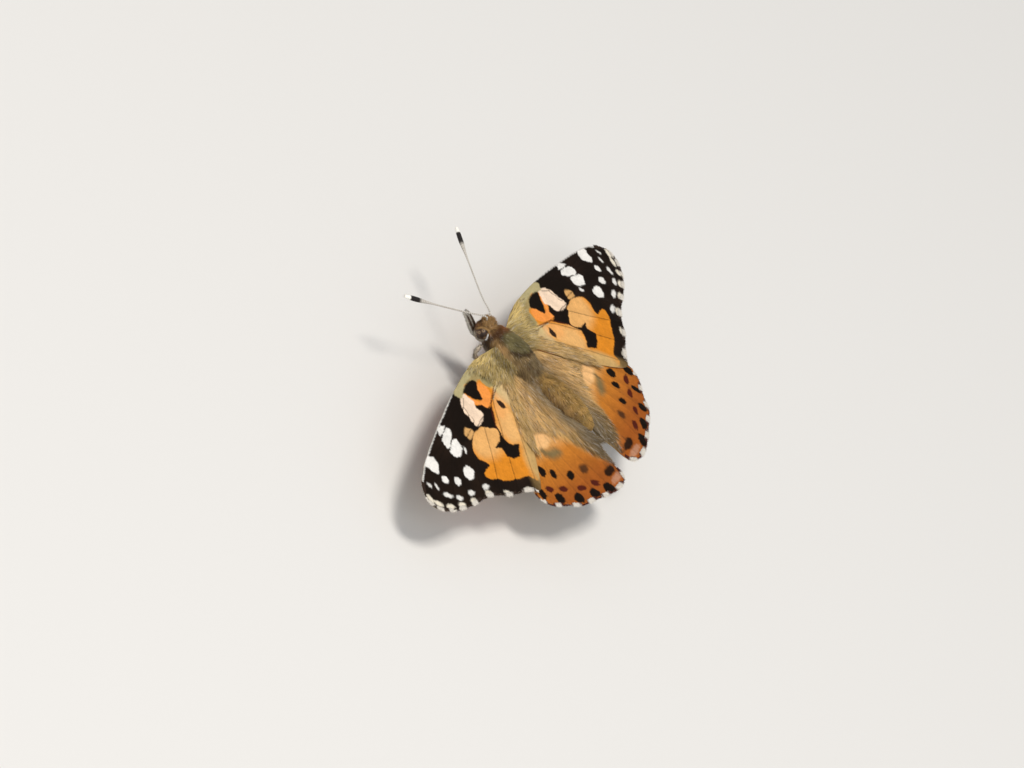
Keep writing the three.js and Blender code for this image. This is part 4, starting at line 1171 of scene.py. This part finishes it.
def feelers():
    points, faces, where = tube(spline(FEELER, 0.07), FEELER_RADII, flatten=0.85)
    ring = 0.5 + 0.5 * np.cos(2 * np.pi * where * FEELER_LENGTH / FEELER_RING)
    tint = mix(SHAFT_PALE, SHAFT_DARK, ramp(0.45, 0.95, ring) * 0.65,
               CLUB_BLACK, ramp(0.8, 0.85, where), CLUB_TIP, ramp(0.935, 0.95, where))
    add_both("feeler_shaft", points, faces, HORN, tint, limb_map(where, 0.1),
             ["feeler"])


def palp_colours(p):
    """Pale grey outside and below, dark brown above."""
    _, ts, zs = zip(*PALP[::-1])
    return mix(PALP_PALE, PALP_DARK, ramp(0.02, 0.14, p[:, 2] - np.interp(p[:, 1], ts, zs)))


def palps():
    # The core under the scales takes their colours at 0.7, painted shade under the coat
    limb("palp", "palp", spline(PALP, 0.05), [0.16, 0.2, 0.2, 0.18, 0.14, 0.1, 0.04], 0.3,
         (SKIN, lambda p: palp_colours(p) * 0.7), ("scales", palp_colours, 1500, 0.3, 0.05, 0.45))


def leg_colours(p):
    spots = ramp(0.1, 0.5, noise(p[:, 0] * 1.3, p[:, 2] * 1.3 + p[:, 1], 0.5, 91))
    return mix(LEG_PALE, LEG_DARK, spots * 0.7)


def leg_pieces():
    for leg, (base, hip, knee, ankle, toe) in LEGS.items():
        parts = {"thigh": [base, hip, knee], "shin": [knee, ankle], "foot": [ankle, toe]}
        for row, (part, ends) in enumerate(parts.items()):
            coat = None if part == "foot" else ("scales", leg_colours, 900, 0.3, 0.06, 0.25)
            limb(f"{leg}_{part}", "leg", dense_line(ends, 0.08), LEG_RADII[part],
                 0.1 + 0.12 * row, (HORN, leg_colours), coat)
        claws(leg, np.array(ankle), np.array(toe))


def dense_line(ends, step):
    """Straight runs between places, as closely spaced places."""
    out = []
    for a, b in zip(np.array(ends[:-1]), np.array(ends[1:])):
        n = int(np.linalg.norm(b - a) / step)
        out.append(a + (b - a) * np.linspace(0, 1, n, endpoint=False)[:, None])
    return np.vstack([*out, ends[-1]])


def claws(leg, ankle, toe):
    """Two curved claws at the end of a foot."""
    ahead = (toe - ankle) / np.linalg.norm(toe - ankle)
    across = np.cross(ahead, (0, 0, 1))
    for label, way in (("outer", 1), ("inner", -1)):
        path = spline([toe - 0.1 * ahead, toe + 0.1 * ahead + way * 0.07 * across,
                       toe + 0.26 * ahead + way * 0.1 * across - (0, 0, 0.06)], 0.03)
        points, faces, where = tube(path, [0.05, 0.04, 0.012], 8)
        add_both(f"{leg}_claw_{label}", points, faces, CLAW, None,
                 columns(where * 0.1 + 0.8, 0.9), [])


def folded_forelegs():
    """The short furred front legs, held against the breast."""
    limb("foreleg", "leg", spline(FORELEG, 0.06), [0.14, 0.16, 0.15, 0.13, 0.12, 0.05], 0.5,
         (HORN, leg_colours), ("hair", lambda p: BELLY, 900, 0.5, 0.05, 0.45))


# Stage and view

FLOOR_REACH = 4  # half the width of the floor, in metres
LIGHTS = {  # place in metres, size, power and colour
    "key": ((-0.2, 0.06, 1.02), 0.28, 6.8, (1, 0.95, 0.88)),
    "fill": ((-0.8, -0.3, 0.6), 0.8, 4, (0.98, 0.98, 1))}

# RIGHT, UP and TOWARDS are the photograph's directions in the frame, and the anchor is the
# place between the wing bases, seen at ANCHOR_PIXEL.
RIGHT = Vector((0.2946, -0.7365, 0.6074)).normalized()
TOWARDS = Vector((-0.8638, 0.0659, 0.4989)).normalized()
UP = TOWARDS.cross(RIGHT)
ANCHOR_PIXEL = (498.5, 337.5)
PICTURE = (1024, 768)
PIXELS_PER_MM = 9.11
DISTANCE = 1.2
SENSOR = 36


def stage():
    mesh = bpy.data.meshes.new("floor")
    corners = [(-1, -1, 0), (1, -1, 0), (1, 1, 0), (-1, 1, 0)]
    mesh.from_pydata((np.array(corners) * FLOOR_REACH).tolist(), [], [(0, 1, 2, 3)])
    surface = bpy.data.materials.new("pale_floor")
    feed_shader(surface, {"Base Color": (0.74, 0.73, 0.71, 1), "Roughness": 0.85})
    mesh.materials.append(surface)
    add_object("floor", mesh)


def lights():
    bpy.context.scene.view_settings.view_transform = "Standard"
    world = bpy.data.worlds.new("studio")
    bpy.context.scene.world = world
    feed_shader(world, {"Color": (0.93, 0.96, 1, 1), "Strength": 0.4}, "Background")
    for name, (place, size, power, colour) in LIGHTS.items():
        lamp = bpy.data.lights.new(name, "AREA")
        lamp.size = size
        lamp.energy = power
        lamp.color = colour
        holder = add_object(name, lamp)
        holder.location = place
        holder.rotation_euler = (-Vector(place)).to_track_quat("-Z", "Y").to_euler()


def camera():
    data = bpy.data.cameras.new("photo_view")
    data.sensor_width = SENSOR
    data.lens = PIXELS_PER_MM * DISTANCE / MM * SENSOR / PICTURE[0]
    data.clip_start, data.clip_end = 0.05, 20
    across, down = (half / 2 - pixel for half, pixel in zip(PICTURE, ANCHOR_PIXEL))
    anchor = Vector(to_metres([(0, 0, 0)])[0])
    aim = anchor + (RIGHT * across - UP * down) * MM / PIXELS_PER_MM
    turn = Matrix((RIGHT, UP, TOWARDS)).transposed().to_4x4()
    holder = add_object("photo_view", data)
    holder.matrix_world = Matrix.Translation(aim + TOWARDS * DISTANCE) @ turn
    bpy.context.scene.camera = holder


wing_piece(FOREWING)
wing_piece(HINDWING)
wing_hair(FOREWING, 12000)
wing_hair(HINDWING, 17000)
fringe(FOREWING)
fringe(HINDWING)
body_fur(*body_skin())
eyes()
eye_rims()
feelers()
palps()
leg_pieces()
folded_forelegs()
stage()
lights()
camera()
